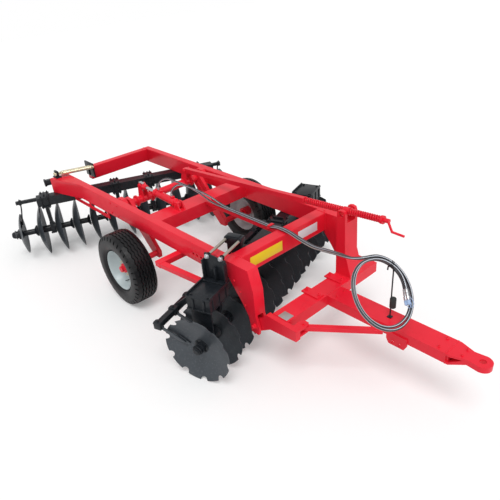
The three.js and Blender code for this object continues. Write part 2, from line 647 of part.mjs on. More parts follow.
function mastShape() {
  const y0 = MAST_Y - MAST_WIDTH / 2;
  const y1 = MAST_Y + MAST_WIDTH / 2;
  const foot = CROSSBAR_TOP + SEAT_GAP;
  const outline = [
    [CROSSBAR_X + 4, foot],
    [crossbarFrontX - 6, foot],
    [crossbarFrontX - 6, foot + 40],
    [TRUNNION.x + 55, foot + 250],
    [TRUNNION.x + 46, TRUNNION.z],
    [TRUNNION.x + 34, TRUNNION.z + 32],
    [TRUNNION.x, MAST_TOP + 8],
    [TRUNNION.x - 34, TRUNNION.z + 32],
    [TRUNNION.x - 46, TRUNNION.z],
  ];
  const slotHalf = 58;
  const slot = box(CROSSBAR_X - 100, crossbarFrontX + 100, MAST_Y - slotHalf, MAST_Y + slotHalf,
    TRUNNION.z - 80, MAST_TOP + 100);
  const bore = roundY(TRUNNION.x, TRUNNION.z, y0 - 5, y1 + 5, TRUNNION_PIN_RADIUS + TRUNNION_DRIFT);
  return cut(plateXZ(outline, y0, y1), slot, bore);
}

const BRACKET_X = 2795;
const BRACKET_LENGTH = 190;
const BRACKET_THICKNESS = 14;
const BRACKET_DROP = 66;
function drawbarShape() {
  const half = DRAWBAR_WIDTH / 2;
  const bottom = CROSSBAR_TOP - DRAWBAR_HEIGHT;
  const beam = box(crossbarFrontX + SEAT_GAP, DRAWBAR_END_X, -half, half, bottom, CROSSBAR_TOP);
  const bracket = (y0) => {
    const plate = plateXZ([
      [BRACKET_X, bottom + 50],
      [BRACKET_X, bottom - 20],
      [BRACKET_X + 24, bottom - BRACKET_DROP],
      [BRACKET_X + BRACKET_LENGTH - 24, bottom - BRACKET_DROP],
      [BRACKET_X + BRACKET_LENGTH, bottom - 20],
      [BRACKET_X + BRACKET_LENGTH, bottom + 50],
    ], y0, y0 + BRACKET_THICKNESS);
    const hole = (x) => roundY(x, bottom - 36, y0 - 5, y0 + BRACKET_THICKNESS + 5, 13, 12);
    return cut(plate, hole(BRACKET_X + 62), hole(BRACKET_X + BRACKET_LENGTH - 62));
  };
  return join(beam, bracket(half - 1), bracket(-half - BRACKET_THICKNESS + 1));
}

function tongueShape() {
  const half = DRAWBAR_WIDTH / 2;
  const startX = DRAWBAR_END_X + SEAT_GAP;
  const shoulderX = startX + TONGUE_SHOULDER;
  const outline = [[startX, -half], [shoulderX, -half], [TONGUE_NECK_X, -TONGUE_NECK_HALF]];
  const arcSteps = 18;
  const arcStart = -1.85;
  for (let i = 0; i <= arcSteps; i += 1) {
    const angle = arcStart + (-2 * arcStart * i) / arcSteps;
    outline.push([EYE_X + EYE_RADIUS * Math.cos(angle), EYE_RADIUS * Math.sin(angle)]);
  }
  outline.push([TONGUE_NECK_X, TONGUE_NECK_HALF], [shoulderX, half], [startX, half]);
  const bottom = CROSSBAR_TOP - DRAWBAR_HEIGHT;
  const eyeBottom = CROSSBAR_TOP - EYE_THICKNESS;
  const topPlateBottom = CROSSBAR_TOP - TONGUE_PLATE;
  const top = plateXY(outline, topPlateBottom, CROSSBAR_TOP);
  // The lower plate rises to the upper one at the neck, so that the eye is one thick piece.
  const rising = plateXZ([
    [startX, bottom],
    [shoulderX, bottom],
    [TONGUE_NECK_X, eyeBottom],
    [EYE_X + EYE_RADIUS + 1, eyeBottom],
    [EYE_X + EYE_RADIUS + 1, topPlateBottom + 1],
    [TONGUE_NECK_X - 24, topPlateBottom + 1],
    [shoulderX, bottom + TONGUE_PLATE],
    [startX, bottom + TONGUE_PLATE],
  ], -half - 1, half + 1);
  const low = common(rising, plateXY(outline, bottom - 1, topPlateBottom + 2));
  const web = box(startX, startX + TONGUE_PLATE, -half + 12, half - 12, bottom + 10, CROSSBAR_TOP - 10);
  const bore = roundBetween(new THREE.Vector3(EYE_X, 0, eyeBottom - 20), new THREE.Vector3(EYE_X, 0, CROSSBAR_TOP + 20),
    EYE_BORE_RADIUS, 24);
  return cut(join(top, low, web), bore);
}

const STAY_WIDTH = 50;
const STAY_HEIGHT = 38;
function stayShape() {
  const direction = Math.atan2(-DRAWBAR_WIDTH / 2 - CLEVIS.y, BRACKET_X - 30 - CLEVIS.x);
  const cornerReach = (STAY_WIDTH / 2) * Math.cos(direction) + 2 * SEAT_GAP;
  const end = new THREE.Vector3(BRACKET_X - 30, -DRAWBAR_WIDTH / 2 - cornerReach, CLEVIS.z - 4);
  const start = new THREE.Vector3(CLEVIS.x - 24, CLEVIS.y - 20, CLEVIS.z);
  const bore = roundBetween(new THREE.Vector3(CLEVIS.x, CLEVIS.y, CLEVIS.z - 60),
    new THREE.Vector3(CLEVIS.x, CLEVIS.y, CLEVIS.z + 60), CLEVIS_PIN_RADIUS + SEAT_GAP + 0.4);
  return cut(squareBetween(start, end, STAY_WIDTH, STAY_HEIGHT), bore);
}

// ---------- hose stand and hoses ----------
const STAND_FOOT = new THREE.Vector3(2745, 5, CROSSBAR_TOP + SEAT_GAP);
const STAND_HEIGHT = 451.6;
const STAND_ROD_RADIUS = 7;
function standShape() {
  const top = STAND_FOOT.clone().add(new THREE.Vector3(0, 0, STAND_HEIGHT));
  const at = (h) => STAND_FOOT.clone().add(new THREE.Vector3(0, 0, h));
  const foot = box(STAND_FOOT.x - 45, STAND_FOOT.x + 45, STAND_FOOT.y - 25, STAND_FOOT.y + 25, STAND_FOOT.z,
    STAND_FOOT.z + 8);
  return join(foot, roundBetween(at(2), top, STAND_ROD_RADIUS, 12), roundBetween(at(95), at(195), 21, 16));
}

const COIL_CENTRE = new THREE.Vector3(2808, -229, 995);
const COIL_RADIUS = 278;
const COIL_BUNDLE_RADIUS = 27;
const COUPLING_RADIUS = 14;
const COUPLING_NEST = 2.2;         // how far the couplings sink into the round of the bundle
const COUPLING_ANGLE = THREE.MathUtils.degToRad(118);  // round the coil from its top, towards the left side
const COIL_TILT = THREE.MathUtils.degToRad(49);  // the coil's axis leans this far forward from upright
function coilPoint(angle, offset = 0) {
  const reach = COIL_RADIUS + offset;
  const up = new THREE.Vector3(-Math.cos(COIL_TILT), 0, Math.sin(COIL_TILT)).multiplyScalar(reach * Math.cos(angle));
  return COIL_CENTRE.clone().add(up).add(new THREE.Vector3(0, reach * Math.sin(angle), 0));
}

function addCoil(set) {
  const ring = [];
  const sides = 10;
  for (let i = 0; i <= sides; i += 1) {
    const angle = (2 * Math.PI * i) / sides;
    ring.push([COIL_RADIUS + COIL_BUNDLE_RADIUS * Math.cos(angle), COIL_BUNDLE_RADIUS * Math.sin(angle)]);
  }
  const coil = turned(ring, 40).rotateX(Math.PI / 2).rotateY(COIL_TILT);
  set('hose_coil', coil.translate(COIL_CENTRE.x, COIL_CENTRE.y, COIL_CENTRE.z), HOSE);
  const inset = COUPLING_NEST - COIL_BUNDLE_RADIUS - COUPLING_RADIUS;
  const coupling = (from, side) => {
    const axial = new THREE.Vector3(Math.sin(COIL_TILT), 0, Math.cos(COIL_TILT)).multiplyScalar(side * 12);
    return roundBetween(coilPoint(from, inset).add(axial), coilPoint(from + 0.34, inset).add(axial),
      COUPLING_RADIUS, 12);
  };
  set('hose_couplings', join(coupling(COUPLING_ANGLE, 1), coupling(COUPLING_ANGLE + 0.1, -1)), STEEL);
}

function addHoses() {
  const steps = { hose_a_frame: 34, hose_b_frame: 30, hose_a_free: 20, hose_b_free: 20 };
  for (const [name, points] of Object.entries(HOSE_ROUTES)) {
    place(name, tube(points, HOSE_RADIUS, steps[name]), HOSE);
  }
}

// ---------- disc gangs ----------
function discGangProfile(dishSign, smallFirst) {
  const hub = -dishSign * DISC_HUB_SET;
  const end = (DISC_COUNT - 1) * DISC_SPACING;
  const profile = [
    [0, hub - GANG_AXLE_END],
    [GANG_AXLE_RADIUS, hub - GANG_AXLE_END],
    [GANG_AXLE_RADIUS, hub - 60],
    [SPOOL_RADIUS, hub - 60],
  ];
  const half = DISC_THICKNESS / 2;
  for (let i = 0; i < DISC_COUNT; i += 1) {
    const rim = smallFirst && i === 0 ? DISC_SMALL_RADIUS : DISC_RADIUS;
    const surface = (r) => i * DISC_SPACING + hub + dishSign * DISC_DISH * (r / DISC_RADIUS) ** 2;
    const radii = [SPOOL_RADIUS, 205, rim];
    radii.forEach((r) => profile.push([r, surface(r) - half]));
    radii.reverse().forEach((r) => profile.push([r, surface(r) + half]));
  }
  profile.push(
    [SPOOL_RADIUS, end + hub + 60],
    [GANG_AXLE_RADIUS, end + hub + 60],
    [GANG_AXLE_RADIUS, end + hub + GANG_AXLE_END],
    [0, end + hub + GANG_AXLE_END],
  );
  return profile;
}

const HANGER_THICKNESS = 44;
const BEARING_RADIUS = 82;
function hanger(bay) {
  const middle = (bay + 0.5) * DISC_SPACING;
  const y0 = middle - HANGER_THICKNESS / 2;
  const y1 = middle + HANGER_THICKNESS / 2;
  const beamBottom = gangBeamTop - GANG_BEAM_HEIGHT - DISC_RADIUS;
  const outline = [
    [-GANG_BEAM_WIDTH / 2 + 4, beamBottom + 4],
    [-GANG_BEAM_WIDTH / 2 + 4, beamBottom - 90],
    [-34, 140],
    [-BEARING_RADIUS * 0.7, BEARING_RADIUS * 0.7],
    [-BEARING_RADIUS, 0],
    [-BEARING_RADIUS * 0.7, -BEARING_RADIUS * 0.7],
    [0, -BEARING_RADIUS],
    [BEARING_RADIUS * 0.7, -BEARING_RADIUS * 0.7],
    [BEARING_RADIUS, 0],
    [BEARING_RADIUS * 0.7, BEARING_RADIUS * 0.7],
    [34, 140],
    [GANG_BEAM_WIDTH / 2 - 4, beamBottom - 90],
    [GANG_BEAM_WIDTH / 2 - 4, beamBottom + 4],
  ];
  const bore = roundY(0, 0, y0 - 5, y1 + 5, SPOOL_RADIUS + PIN_GAP, 24);
  return cut(plateXZ(outline, y0, y1), bore);
}

function gangBeam(startY, endY, bays, endBoxes) {
  const bottom = gangBeamTop - GANG_BEAM_HEIGHT - DISC_RADIUS;
  const top = gangBeamTop - DISC_RADIUS;
  const half = GANG_BEAM_WIDTH / 2;
  const beam = box(-half, half, startY, endY, bottom, top);
  const boxes = endBoxes.map(([y0, y1]) => box(-GANG_BOX_HALF, GANG_BOX_HALF, y0, y1, bottom + 10, top + 26));
  return join(beam, ...boxes, ...bays.map(hanger));
}

const STUD_HEIGHT_FRONT = 1055;
const STUD_HEIGHT_REAR = 1030;
const STUD_RADIUS = 12;
const CLAMP_PLATE_THICKNESS = 26;
// Two plates on the gang beam with long studs between them, over the frame's side beam.
function frontClampShape() {
  const base = gangBeamTop - DISC_RADIUS + SEAT_GAP;
  const z = STUD_HEIGHT_FRONT - DISC_RADIUS;
  const top = z + 28;
  const outerY0 = 400;
  const innerY0 = 738;
  const outerBase = base + 26;
  const outer = box(-88, 116, outerY0, outerY0 + CLAMP_PLATE_THICKNESS, outerBase, top);
  const inner = box(-86, 94, innerY0, innerY0 + 90, base, top - 4);
  const stud = (x) => roundBetween(new THREE.Vector3(x, outerY0 - 24, z), new THREE.Vector3(x, innerY0 + 20, z),
    STUD_RADIUS, 14);
  return join(outer, inner, stud(-58), stud(80));
}

function scraperBar(x, z, startY, endY, size, brackets) {
  const half = size / 2;
  const bar = box(x - half, x + half, startY, endY, z - half, z + half);
  return join(bar, ...brackets);
}

function addFrontGang() {
  const gang = pivotGroup('front_gang_place', frontGangStart);
  gang.rotation.z = THREE.MathUtils.degToRad(FRONT_GANG_ANGLE);
  place('front_disc_gang', turned(discGangProfile(-1, false), 24), DISC_STEEL, gang);
  place('front_gang_beam', gangBeam(104, 2660, HANGER_BAYS_FRONT, [[104, 420], [2350, 2660]]), BLACK, gang);
  place('front_gang_clamp', frontClampShape(), BLACK, gang);
  const barX = -345;
  const barZ = 545 - DISC_RADIUS;
  const beamBack = -GANG_BEAM_WIDTH / 2 - SEAT_GAP;
  const arms = [230, 1120, 1800].map((y) => {
    const rearX = y < 420 ? -GANG_BOX_HALF - SEAT_GAP : beamBack;
    const height = 36;
    const level = gangBeamTop - DISC_RADIUS - 45;
    return plateXZ([
      [rearX, level + height],
      [rearX, level - height],
      [barX + 20, barZ - 20],
      [barX - 20, barZ + 20],
    ], y, y + 30);
  });
  place('front_scraper_bar', scraperBar(barX, barZ, -44, 2050, 56, arms), BLACK, gang);
}

function addRearGang() {
  const gang = pivotGroup('rear_gang_place', rearGangStart);
  gang.rotation.z = THREE.MathUtils.degToRad(REAR_GANG_ANGLE);
  place('rear_disc_gang', turned(discGangProfile(1, true), 24), DISC_STEEL, gang);
  place('rear_gang_beam', gangBeam(240, 2620, HANGER_BAYS_REAR, []), BLACK, gang);
  const barX = -GANG_BEAM_WIDTH / 2 - 62;
  const barZ = 712 - DISC_RADIUS;
  const arms = [300, 1130, 1960, 2540].map((y) => box(barX, -GANG_BEAM_WIDTH / 2 - SEAT_GAP, y, y + 26,
    barZ - 18, barZ + 18));
  place('rear_scraper_bar', scraperBar(barX, barZ, -30, 2760, 40, arms), BLACK, gang);
}

// Square bar, end plate and long studs that hold the rear crossbeam's right end.
function addRearClamp() {
  const plateY = REAR_BEAM_RIGHT_Y - SEAT_GAP;
  const plate = box(REAR_FACE_X - 12, -1622, plateY - 26, plateY, 806, 1076);
  const bar = squareBetween(new THREE.Vector3(-1812, plateY - 10, 905), new THREE.Vector3(-1946, -872, 905), 68, 68);
  const lugTop = 1060;
  const lug = box(-1826, -1752, -764, -738, FRAME_TOP + SEAT_GAP, lugTop);
  const stud = (shift) => roundBetween(new THREE.Vector3(-1636 + shift, plateY - 10, STUD_HEIGHT_REAR),
    new THREE.Vector3(-1800 + shift, -782, STUD_HEIGHT_REAR), STUD_RADIUS, 14);
  place('rear_gang_clamp', join(plate, bar, lug, stud(-14), stud(28)), BLACK);
}

addSideBeams();
addRearCrossbeam();
addFrontCrossbeam();
addFrontLeg('frame_leg_left', 1);
addFrontLeg('frame_leg_right', -1);
addCrossmember();
addRockshaftBearing('rockshaft_bearing_left', 1);
addRockshaftBearing('rockshaft_bearing_right', -1);
addHoseSupportBar();
addOutrigger();
addRearBrace();
addRearClamp();
addFrontGang();
addRearGang();
addRockshaft();
addCylinder();
addLevelRod();
addDrawbar();
addHoses();

// The origin is on the ground, under the middle of everything but the hoses.
model.updateMatrixWorld(true);
const extent = new THREE.Box3();
model.traverse((node) => {
  if (node.isMesh && !node.name.startsWith('hose_')) extent.expandByObject(node, true);
});
const middle = extent.getCenter(new THREE.Vector3());
model.position.set(-middle.x, -middle.y, -extent.min.z);

export default model;
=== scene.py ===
"""Disc harrow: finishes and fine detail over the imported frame, in metres."""
import math
import bpy
from mathutils import Matrix, Vector


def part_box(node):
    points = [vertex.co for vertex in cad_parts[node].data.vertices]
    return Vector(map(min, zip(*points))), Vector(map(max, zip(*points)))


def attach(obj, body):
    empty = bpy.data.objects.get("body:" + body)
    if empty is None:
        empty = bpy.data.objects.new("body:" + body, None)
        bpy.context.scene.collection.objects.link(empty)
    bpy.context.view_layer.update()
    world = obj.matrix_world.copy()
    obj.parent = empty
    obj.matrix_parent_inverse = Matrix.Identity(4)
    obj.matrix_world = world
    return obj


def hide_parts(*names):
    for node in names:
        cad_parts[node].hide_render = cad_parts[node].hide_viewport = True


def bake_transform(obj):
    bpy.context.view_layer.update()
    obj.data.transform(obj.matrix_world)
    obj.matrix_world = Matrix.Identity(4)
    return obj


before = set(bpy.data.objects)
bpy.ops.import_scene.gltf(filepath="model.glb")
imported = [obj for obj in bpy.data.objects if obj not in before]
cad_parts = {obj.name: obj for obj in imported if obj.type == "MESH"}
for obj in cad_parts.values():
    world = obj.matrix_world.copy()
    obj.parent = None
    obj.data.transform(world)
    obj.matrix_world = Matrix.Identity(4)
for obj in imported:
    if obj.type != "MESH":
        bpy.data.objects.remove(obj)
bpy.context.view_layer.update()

# ---------- places and sizes shared with the frame ----------
TYRE_LOW, TYRE_HIGH = (Vector(corner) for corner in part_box("right_tyre"))
BEAM_LOW, BEAM_HIGH = (Vector(corner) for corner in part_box("frame_front_crossbeam"))
# Drawing origin: on the ground, below the wheels' axle, in the middle of the frame.
ORIGIN = Vector(((TYRE_LOW.x + TYRE_HIGH.x) / 2, (BEAM_LOW.y + BEAM_HIGH.y) / 2, 0))
FRAME_TOP = 0.986
SIDE_FACE = 0.692
DISC_RADIUS = 0.330
DISC_SMALL_RADIUS = 0.262
DISC_DISH = 0.085
DISC_HUB_SET = 0.072
DISC_HALF = 0.0035
DISC_SPACING = 0.228
DISC_COUNT = 13
# Spaces between discs, counted from the right, that hold a hanger's bearing.
FRONT_BAYS = (1, 4, 7, 10)
REAR_BAYS = (1, 5, 7, 10)
# Hangers of the front gang under the end boxes, with no clamp over the beam.
FRONT_BOXED_BAYS = (1, 10)
NOTCHES = 10
GANG_BEAM_HALF = 0.070
GANG_BEAM_BOTTOM = 0.3447
# Turn of each disc on its axle against the one before, in radians.
DISC_TURN = 0.9
TYRE_HALF = 0.1365
TREAD_RADIUS = 0.4137
BEAD_RADIUS = 0.228
WHEEL_Y = 0.908
DRAWBAR_TOP = 0.596
# Smooth shading stops at edges sharper than these.
FACET_ANGLE = math.radians(32)
BEVEL_FACET_ANGLE = math.radians(38)
TUBE_FACET_ANGLE = math.radians(50)
UP = Vector((0, 0, 1))
DOWN = Vector((0, 0, -1))
LEFT = Vector((0, 1, 0))
RIGHT = Vector((0, -1, 0))


def at(x, y, z):
    """A point from its drawing coordinates."""
    return ORIGIN + Vector((x, y, z))


def gang_place(x, y, degrees):
    """Where a gang stands: its right-hand disc's place, and the axle's turn from square."""
    return Matrix.Translation(at(x, y, DISC_RADIUS)) @ Matrix.Rotation(math.radians(degrees), 4, "Z")


FRONT_GANG = gang_place(1.6055, -1.182, 19.2)
REAR_GANG = gang_place(-1.9553, -1.2937, -22.5)
Z_TO_Y = Matrix.Rotation(math.radians(-90), 4, "X")
Z_TO_MINUS_Y = Matrix.Rotation(math.radians(90), 4, "X")
CYLINDER_ANCHOR = at(0.260, -0.290, 1.020)
CYLINDER_EYE = at(-0.4625, -0.290, 1.0515)
ROCKSHAFT_X = -0.4625
ROCKSHAFT_Z = 0.8925
LEVEL_ROD_PIN = at(-0.430, 0.333, 1.054)
LEVEL_ROD_BLOCK = at(2.035, 0.333, 1.236)


# ---------- finishes ----------
class Number:
    """A value that varies over a surface. Arithmetic on it adds Math nodes to its finish."""

    def __init__(self, finish, socket):
        self.finish = finish
        self.socket = socket

    def _math(self, operation, first, second):
        return self.finish.node("ShaderNodeMath", {"operation": operation}, {0: first, 1: second})

    def __add__(self, other):
        return self._math("ADD", self, other)

    def __rsub__(self, other):
        return self._math("SUBTRACT", other, self)

    def __mul__(self, other):
        return self._math("MULTIPLY", self, other)

    __radd__ = __add__


class Finish:
    """A material: a Principled shader, its constants, and the nodes that vary it."""

    def __init__(self, name, **constants):
        self.material = bpy.data.materials.new(name)
        self.material.use_nodes = True
        self.tree = self.material.node_tree
        self.shader = self.tree.nodes["Principled BSDF"]
        for socket, value in constants.items():
            title = socket.replace("_", " ").title().replace("Ior", "IOR")
            self.shader.inputs[title].default_value = value
        coordinates = self.tree.nodes.new("ShaderNodeTexCoord")
        self.place = Number(self, coordinates.outputs["Object"])
        self.unwrapped = Number(self, coordinates.outputs["UV"])

    def node(self, kind, settings, sockets, output=0):
        made = self.tree.nodes.new(kind)
        for key, value in settings.items():
            setattr(made, key, value)
        for key, value in sockets.items():
            self.feed(made.inputs[key], value)
        return Number(self, made.outputs[output])

    def feed(self, socket, value):
        if isinstance(value, Number):
            self.tree.links.new(value.socket, socket)
        else:
            socket.default_value = value

    def set(self, socket, value):
        self.feed(self.shader.inputs[socket], value)

    def noise(self, scale, detail=3.0, stretch=(1, 1, 1), source=None):
        mapped = self.node("ShaderNodeMapping", {}, {"Vector": source or self.place, "Scale": stretch})
        return self.node("ShaderNodeTexNoise", {}, {"Vector": mapped, "Scale": scale, "Detail": detail})

    def ramp(self, value, low, high):
        return self.node("ShaderNodeMapRange", {}, {"Value": value, "From Min": low, "From Max": high})

    def blend(self, factor, first, second):
        """Colours first to second; each is three numbers or another blend."""
        sockets = {0: factor}
        for index, colour in ((6, first), (7, second)):
            sockets[index] = colour if isinstance(colour, Number) else (*colour, 1)
        return self.node("ShaderNodeMix", {"data_type": "RGBA"}, sockets, output=2)

    def bump(self, height, strength, distance=0.002):
        self.set("Normal", self.node("ShaderNodeBump", {},
                                     {"Height": height, "Strength": strength, "Distance": distance}))


def red_paint():
    paint = Finish("red_paint", ior=1.5, specular_ior_level=0.26, coat_roughness=0.06)
    shade = paint.noise(1.7, 2.0)
    film = paint.noise(9.0, 5.0)
    colour = paint.blend(paint.ramp(shade, 0.3, 0.7), (0.76, 0.010, 0.028), (0.88, 0.018, 0.042))
    grime = paint.ramp(paint.noise(38.0, 6.0) * film, 0.30, 0.46) * 0.12
    paint.set("Base Color", paint.blend(grime, colour, (0.34, 0.006, 0.012)))
    paint.set("Roughness", film * 0.18 + 0.24)
    paint.set("Coat Weight", 0.16 - film * 0.06)
    paint.bump(paint.noise(260.0, 2.0), 0.05, 0.0008)
    return paint.material


def black_paint():
    paint = Finish("black_paint", ior=1.5, specular_ior_level=0.30)
    film = paint.noise(11.0, 5.0)
    dust = paint.ramp(paint.noise(42.0, 6.0), 0.48, 0.75)
    colour = paint.blend(film, (0.007, 0.009, 0.012), (0.015, 0.018, 0.023))
    paint.set("Base Color", paint.blend(dust * 0.25, colour, (0.060, 0.066, 0.074)))
    paint.set("Roughness", film * 0.20 + 0.24)
    paint.set("Coat Weight", 0.10 - film * 0.05)
    paint.bump(paint.noise(190.0, 3.0), 0.10, 0.001)
    return paint.material


def disc_steel():
    steel = Finish("disc_steel", ior=1.6, specular_ior_level=0.5)
    rings = steel.noise(7.0, 4.0, stretch=(0.6, 42.0, 1.0), source=steel.unwrapped)
    cloud = steel.noise(6.0, 4.0)
    colour = steel.blend(cloud, (0.042, 0.050, 0.060), (0.078, 0.090, 0.104))
    scuffs = steel.ramp(steel.noise(60.0, 8.0), 0.56, 0.70)
    steel.set("Base Color", steel.blend(scuffs * 0.35, colour, (0.16, 0.175, 0.19)))
    steel.set("Metallic", 0.30 + rings * 0.15)
    steel.set("Roughness", rings * 0.22 + 0.26)
    steel.bump(rings, 0.10, 0.0006)
    return steel.material


def tyre_rubber():
    rubber = Finish("tyre_rubber", ior=1.5, specular_ior_level=0.30)
    grain = rubber.noise(260.0, 4.0)
    cloud = rubber.noise(7.0, 4.0)
    dust = rubber.ramp(rubber.noise(24.0, 6.0), 0.45, 0.75) * 0.08
    colour = rubber.blend(cloud, (0.004, 0.004, 0.005), (0.009, 0.009, 0.011))
    rubber.set("Base Color", rubber.blend(dust, colour, (0.05, 0.048, 0.046)))
    rubber.set("Roughness", cloud * 0.16 + 0.30)
    rubber.bump(grain, 0.18, 0.0010)
    return rubber.material


def metal(name, low, high, roughness, metallic=1.0, scale=40.0, depth=0.08):
    """A bare or lightly coated metal that clouds between two colours."""
    plain = Finish(name)
    cloud = plain.noise(scale, 5.0)
    fine = plain.noise(scale * 6, 3.0)
    plain.set("Base Color", plain.blend(cloud, low, high))
    plain.set("Metallic", metallic - cloud * 0.1)
    plain.set("Roughness", fine * 0.16 + roughness)
    plain.bump(fine, depth, 0.0008)
    return plain.material


def moulded(name, low, high, roughness, depth=0.12):
    """Plastic or printed film."""
    plain = Finish(name, ior=1.46)
    cloud = plain.noise(15.0, 4.0)
    grain = plain.noise(120.0, 3.0)
    plain.set("Base Color", plain.blend(cloud, low, high))
    plain.set("Roughness", grain * 0.15 + roughness)
    plain.bump(grain, depth, 0.0006)
    return plain.material


def braided_hose():
    """Dark cover over crossing strands, with three pale lines of painted highlight along it; unwrapped once
    round by metres along.
    """
    hose = Finish("braided_hose", ior=1.7)
    strands = []
    for lean in (0.55, -0.55):
        turned_uv = hose.node("ShaderNodeMapping", {},
                              {"Vector": hose.unwrapped, "Scale": (1.0, 40.0, 1.0), "Rotation": (0, 0, lean)})
        strands.append(hose.node("ShaderNodeTexWave", {"wave_type": "BANDS", "bands_direction": "X"},
                                 {"Vector": turned_uv, "Scale": 3.0, "Distortion": 0.2, "Detail": 1.0},
                                 output=1))
    weave = strands[0] * strands[1]
    round_hose = hose.node("ShaderNodeSeparateXYZ", {}, {"Vector": hose.unwrapped})
    # Painted highlight: three thin bands round the hose, paler, more metallic and glossier, stand in for the
    # sheen of light along it.
    highlight_wave = hose.node("ShaderNodeMath", {"operation": "SINE"}, {0: round_hose * (3 * math.tau)})
    painted_highlight = hose.ramp(highlight_wave, 0.55, 0.85)
    cover = hose.blend(hose.ramp(weave, 0.3, 0.9), (0.010, 0.011, 0.014), (0.075, 0.080, 0.095))
    # The pale colour of the painted highlight lines.
    hose.set("Base Color", hose.blend(painted_highlight, cover, (0.62, 0.65, 0.72)))
    hose.set("Metallic", painted_highlight * 0.35)
    hose.set("Roughness", 0.30 - painted_highlight * 0.08)
    hose.bump(weave, 0.30, 0.0008)
    return hose.material


RED = red_paint()
BLACK = black_paint()
DISC = disc_steel()
RUBBER = tyre_rubber()
RIM = metal("rim_paint", (0.40, 0.47, 0.48), (0.54, 0.61, 0.62), 0.30, metallic=0.12, scale=12.0)
ZINC = metal("yellow_zinc", (0.70, 0.62, 0.42), (0.80, 0.73, 0.54), 0.24, scale=14.0, depth=0.01)
SLEEVE = metal("sleeve_zinc", (0.40, 0.37, 0.31), (0.58, 0.55, 0.48), 0.26, metallic=0.85, scale=14.0,
               depth=0.02)
STEEL = metal("bright_steel", (0.42, 0.43, 0.45), (0.66, 0.67, 0.69), 0.22, scale=50.0)
CHROME = metal("rod_chrome", (0.62, 0.63, 0.65), (0.74, 0.75, 0.77), 0.08, scale=30.0, depth=0.02)
HOSE = braided_hose()
CAP = moulded("coupling_cap", (0.30, 0.42, 0.66), (0.42, 0.55, 0.80), 0.35)
GRIP = moulded("grip_rubber", (0.016, 0.018, 0.018), (0.03, 0.034, 0.034), 0.55, depth=0.3)
YELLOW = moulded("yellow_film", (0.82, 0.62, 0.015), (0.90, 0.72, 0.02), 0.30, depth=0.03)
WHITE = moulded("white_film", (0.62, 0.64, 0.68), (0.74, 0.76, 0.79), 0.30, depth=0.03)
PLATE = metal("type_plate", (0.40, 0.38, 0.38), (0.52, 0.50, 0.50), 0.30, metallic=0.6, scale=25.0)


# ---------- modelling steps ----------
def object_mode():
    if bpy.context.object and bpy.context.object.mode != "OBJECT":
        bpy.ops.object.mode_set(mode="OBJECT")


def only(piece):
    """Leaves this piece alone selected and active."""
    object_mode()
    bpy.ops.object.select_all(action="DESELECT")
    piece.select_set(True)
    bpy.context.view_layer.objects.active = piece


def settle(piece):
    """Puts the piece's place and turn into its mesh."""
    only(piece)
    bpy.ops.object.transform_apply(location=True, rotation=True, scale=True)
    return piece


def put(piece, matrix):
    piece.matrix_world = matrix @ piece.matrix_world
    return settle(piece)


def copy_of(piece, matrix):
    """A copy of a piece, moved by a matrix that may mirror it."""
    made = bpy.data.objects.new(piece.name, piece.data.copy())
    bpy.context.collection.objects.link(made)
    made.data.transform(matrix)
    if matrix.determinant() < 0:
        made.data.flip_normals()
    return made


def drop(piece):
    bpy.data.objects.remove(piece, do_unlink=True)


def joined(name, pieces):
    """One piece from several."""
    only(pieces[0])
    for piece in pieces[1:]:
        piece.select_set(True)
    if len(pieces) > 1:
        bpy.ops.object.join()
    pieces[0].name = name
    return pieces[0]


def pick(piece, kind, test):
    """Goes into edit mode with the faces or points that pass the test selected."""
    object_mode()
    only(piece)
    bpy.ops.object.mode_set(mode="EDIT")
    bpy.ops.mesh.select_mode(type={"faces": "FACE", "points": "VERT"}[kind])
    bpy.ops.mesh.select_all(action="DESELECT")
    bpy.ops.object.mode_set(mode="OBJECT")
    mesh = piece.data
    if kind == "faces":
        for face in mesh.polygons:
            face.select = test(face.center, face.normal)
    else:
        for point in mesh.vertices:
            point.select = test(point.co)
    bpy.ops.object.mode_set(mode="EDIT")


def soften(piece, width, limit=35):
    """Rounds the sharp edges with an applied bevel and shades the rest smooth."""
    only(piece)
    bevel = piece.modifiers.new("edges", "BEVEL")
    bevel.width = width
    bevel.segments = 2
    bevel.limit_method = "ANGLE"
    bevel.angle_limit = math.radians(limit)
    bpy.ops.object.modifier_apply(modifier="edges")
    bpy.ops.object.shade_smooth_by_angle(angle=BEVEL_FACET_ANGLE)
    return piece


def block(name, low, high, width=0.003):
    """A bevelled bar or plate between two corners."""
    low, high = Vector(low), Vector(high)
    object_mode()
    bpy.ops.object.select_all(action="DESELECT")
    bpy.ops.mesh.primitive_cube_add(size=1, location=(low + high) / 2)
    piece = bpy.context.object
    piece.name = name
    piece.scale = high - low
    settle(piece)
    return soften(piece, width) if width else piece


def turned(name, profile, sides, closed=False):
    """A round piece on the Z axis from (height, radius) rings; closed joins the last ring to the first."""
    object_mode()
    bpy.ops.object.select_all(action="DESELECT")
    height, radius = profile[0]
    bpy.ops.mesh.primitive_circle_add(vertices=sides, radius=radius, location=(0, 0, height),
                                      fill_type="NOTHING" if closed else "NGON")
    piece = settle(bpy.context.object)
    piece.name = name
    bpy.ops.object.mode_set(mode="EDIT")
    bpy.ops.mesh.select_all(action="SELECT")
    steps = list(profile[1:]) + ([profile[0]] if closed else [])
    for new_height, new_radius in steps:
        if closed:
            bpy.ops.mesh.extrude_edges_move()
        else:
            bpy.ops.mesh.extrude_region_move()
        bpy.ops.transform.translate(value=(0, 0, new_height - height))
        scale = new_radius / radius
        bpy.ops.transform.resize(value=(scale, scale, 1), center_override=(0, 0, new_height))
        height, radius = new_height, new_radius
    bpy.ops.mesh.select_all(action="SELECT")
    if closed:
        bpy.ops.mesh.remove_doubles(threshold=1e-5)
    bpy.ops.mesh.normals_make_consistent(inside=False)
    object_mode()
    bpy.ops.object.shade_smooth_by_angle(angle=FACET_ANGLE)
    return piece


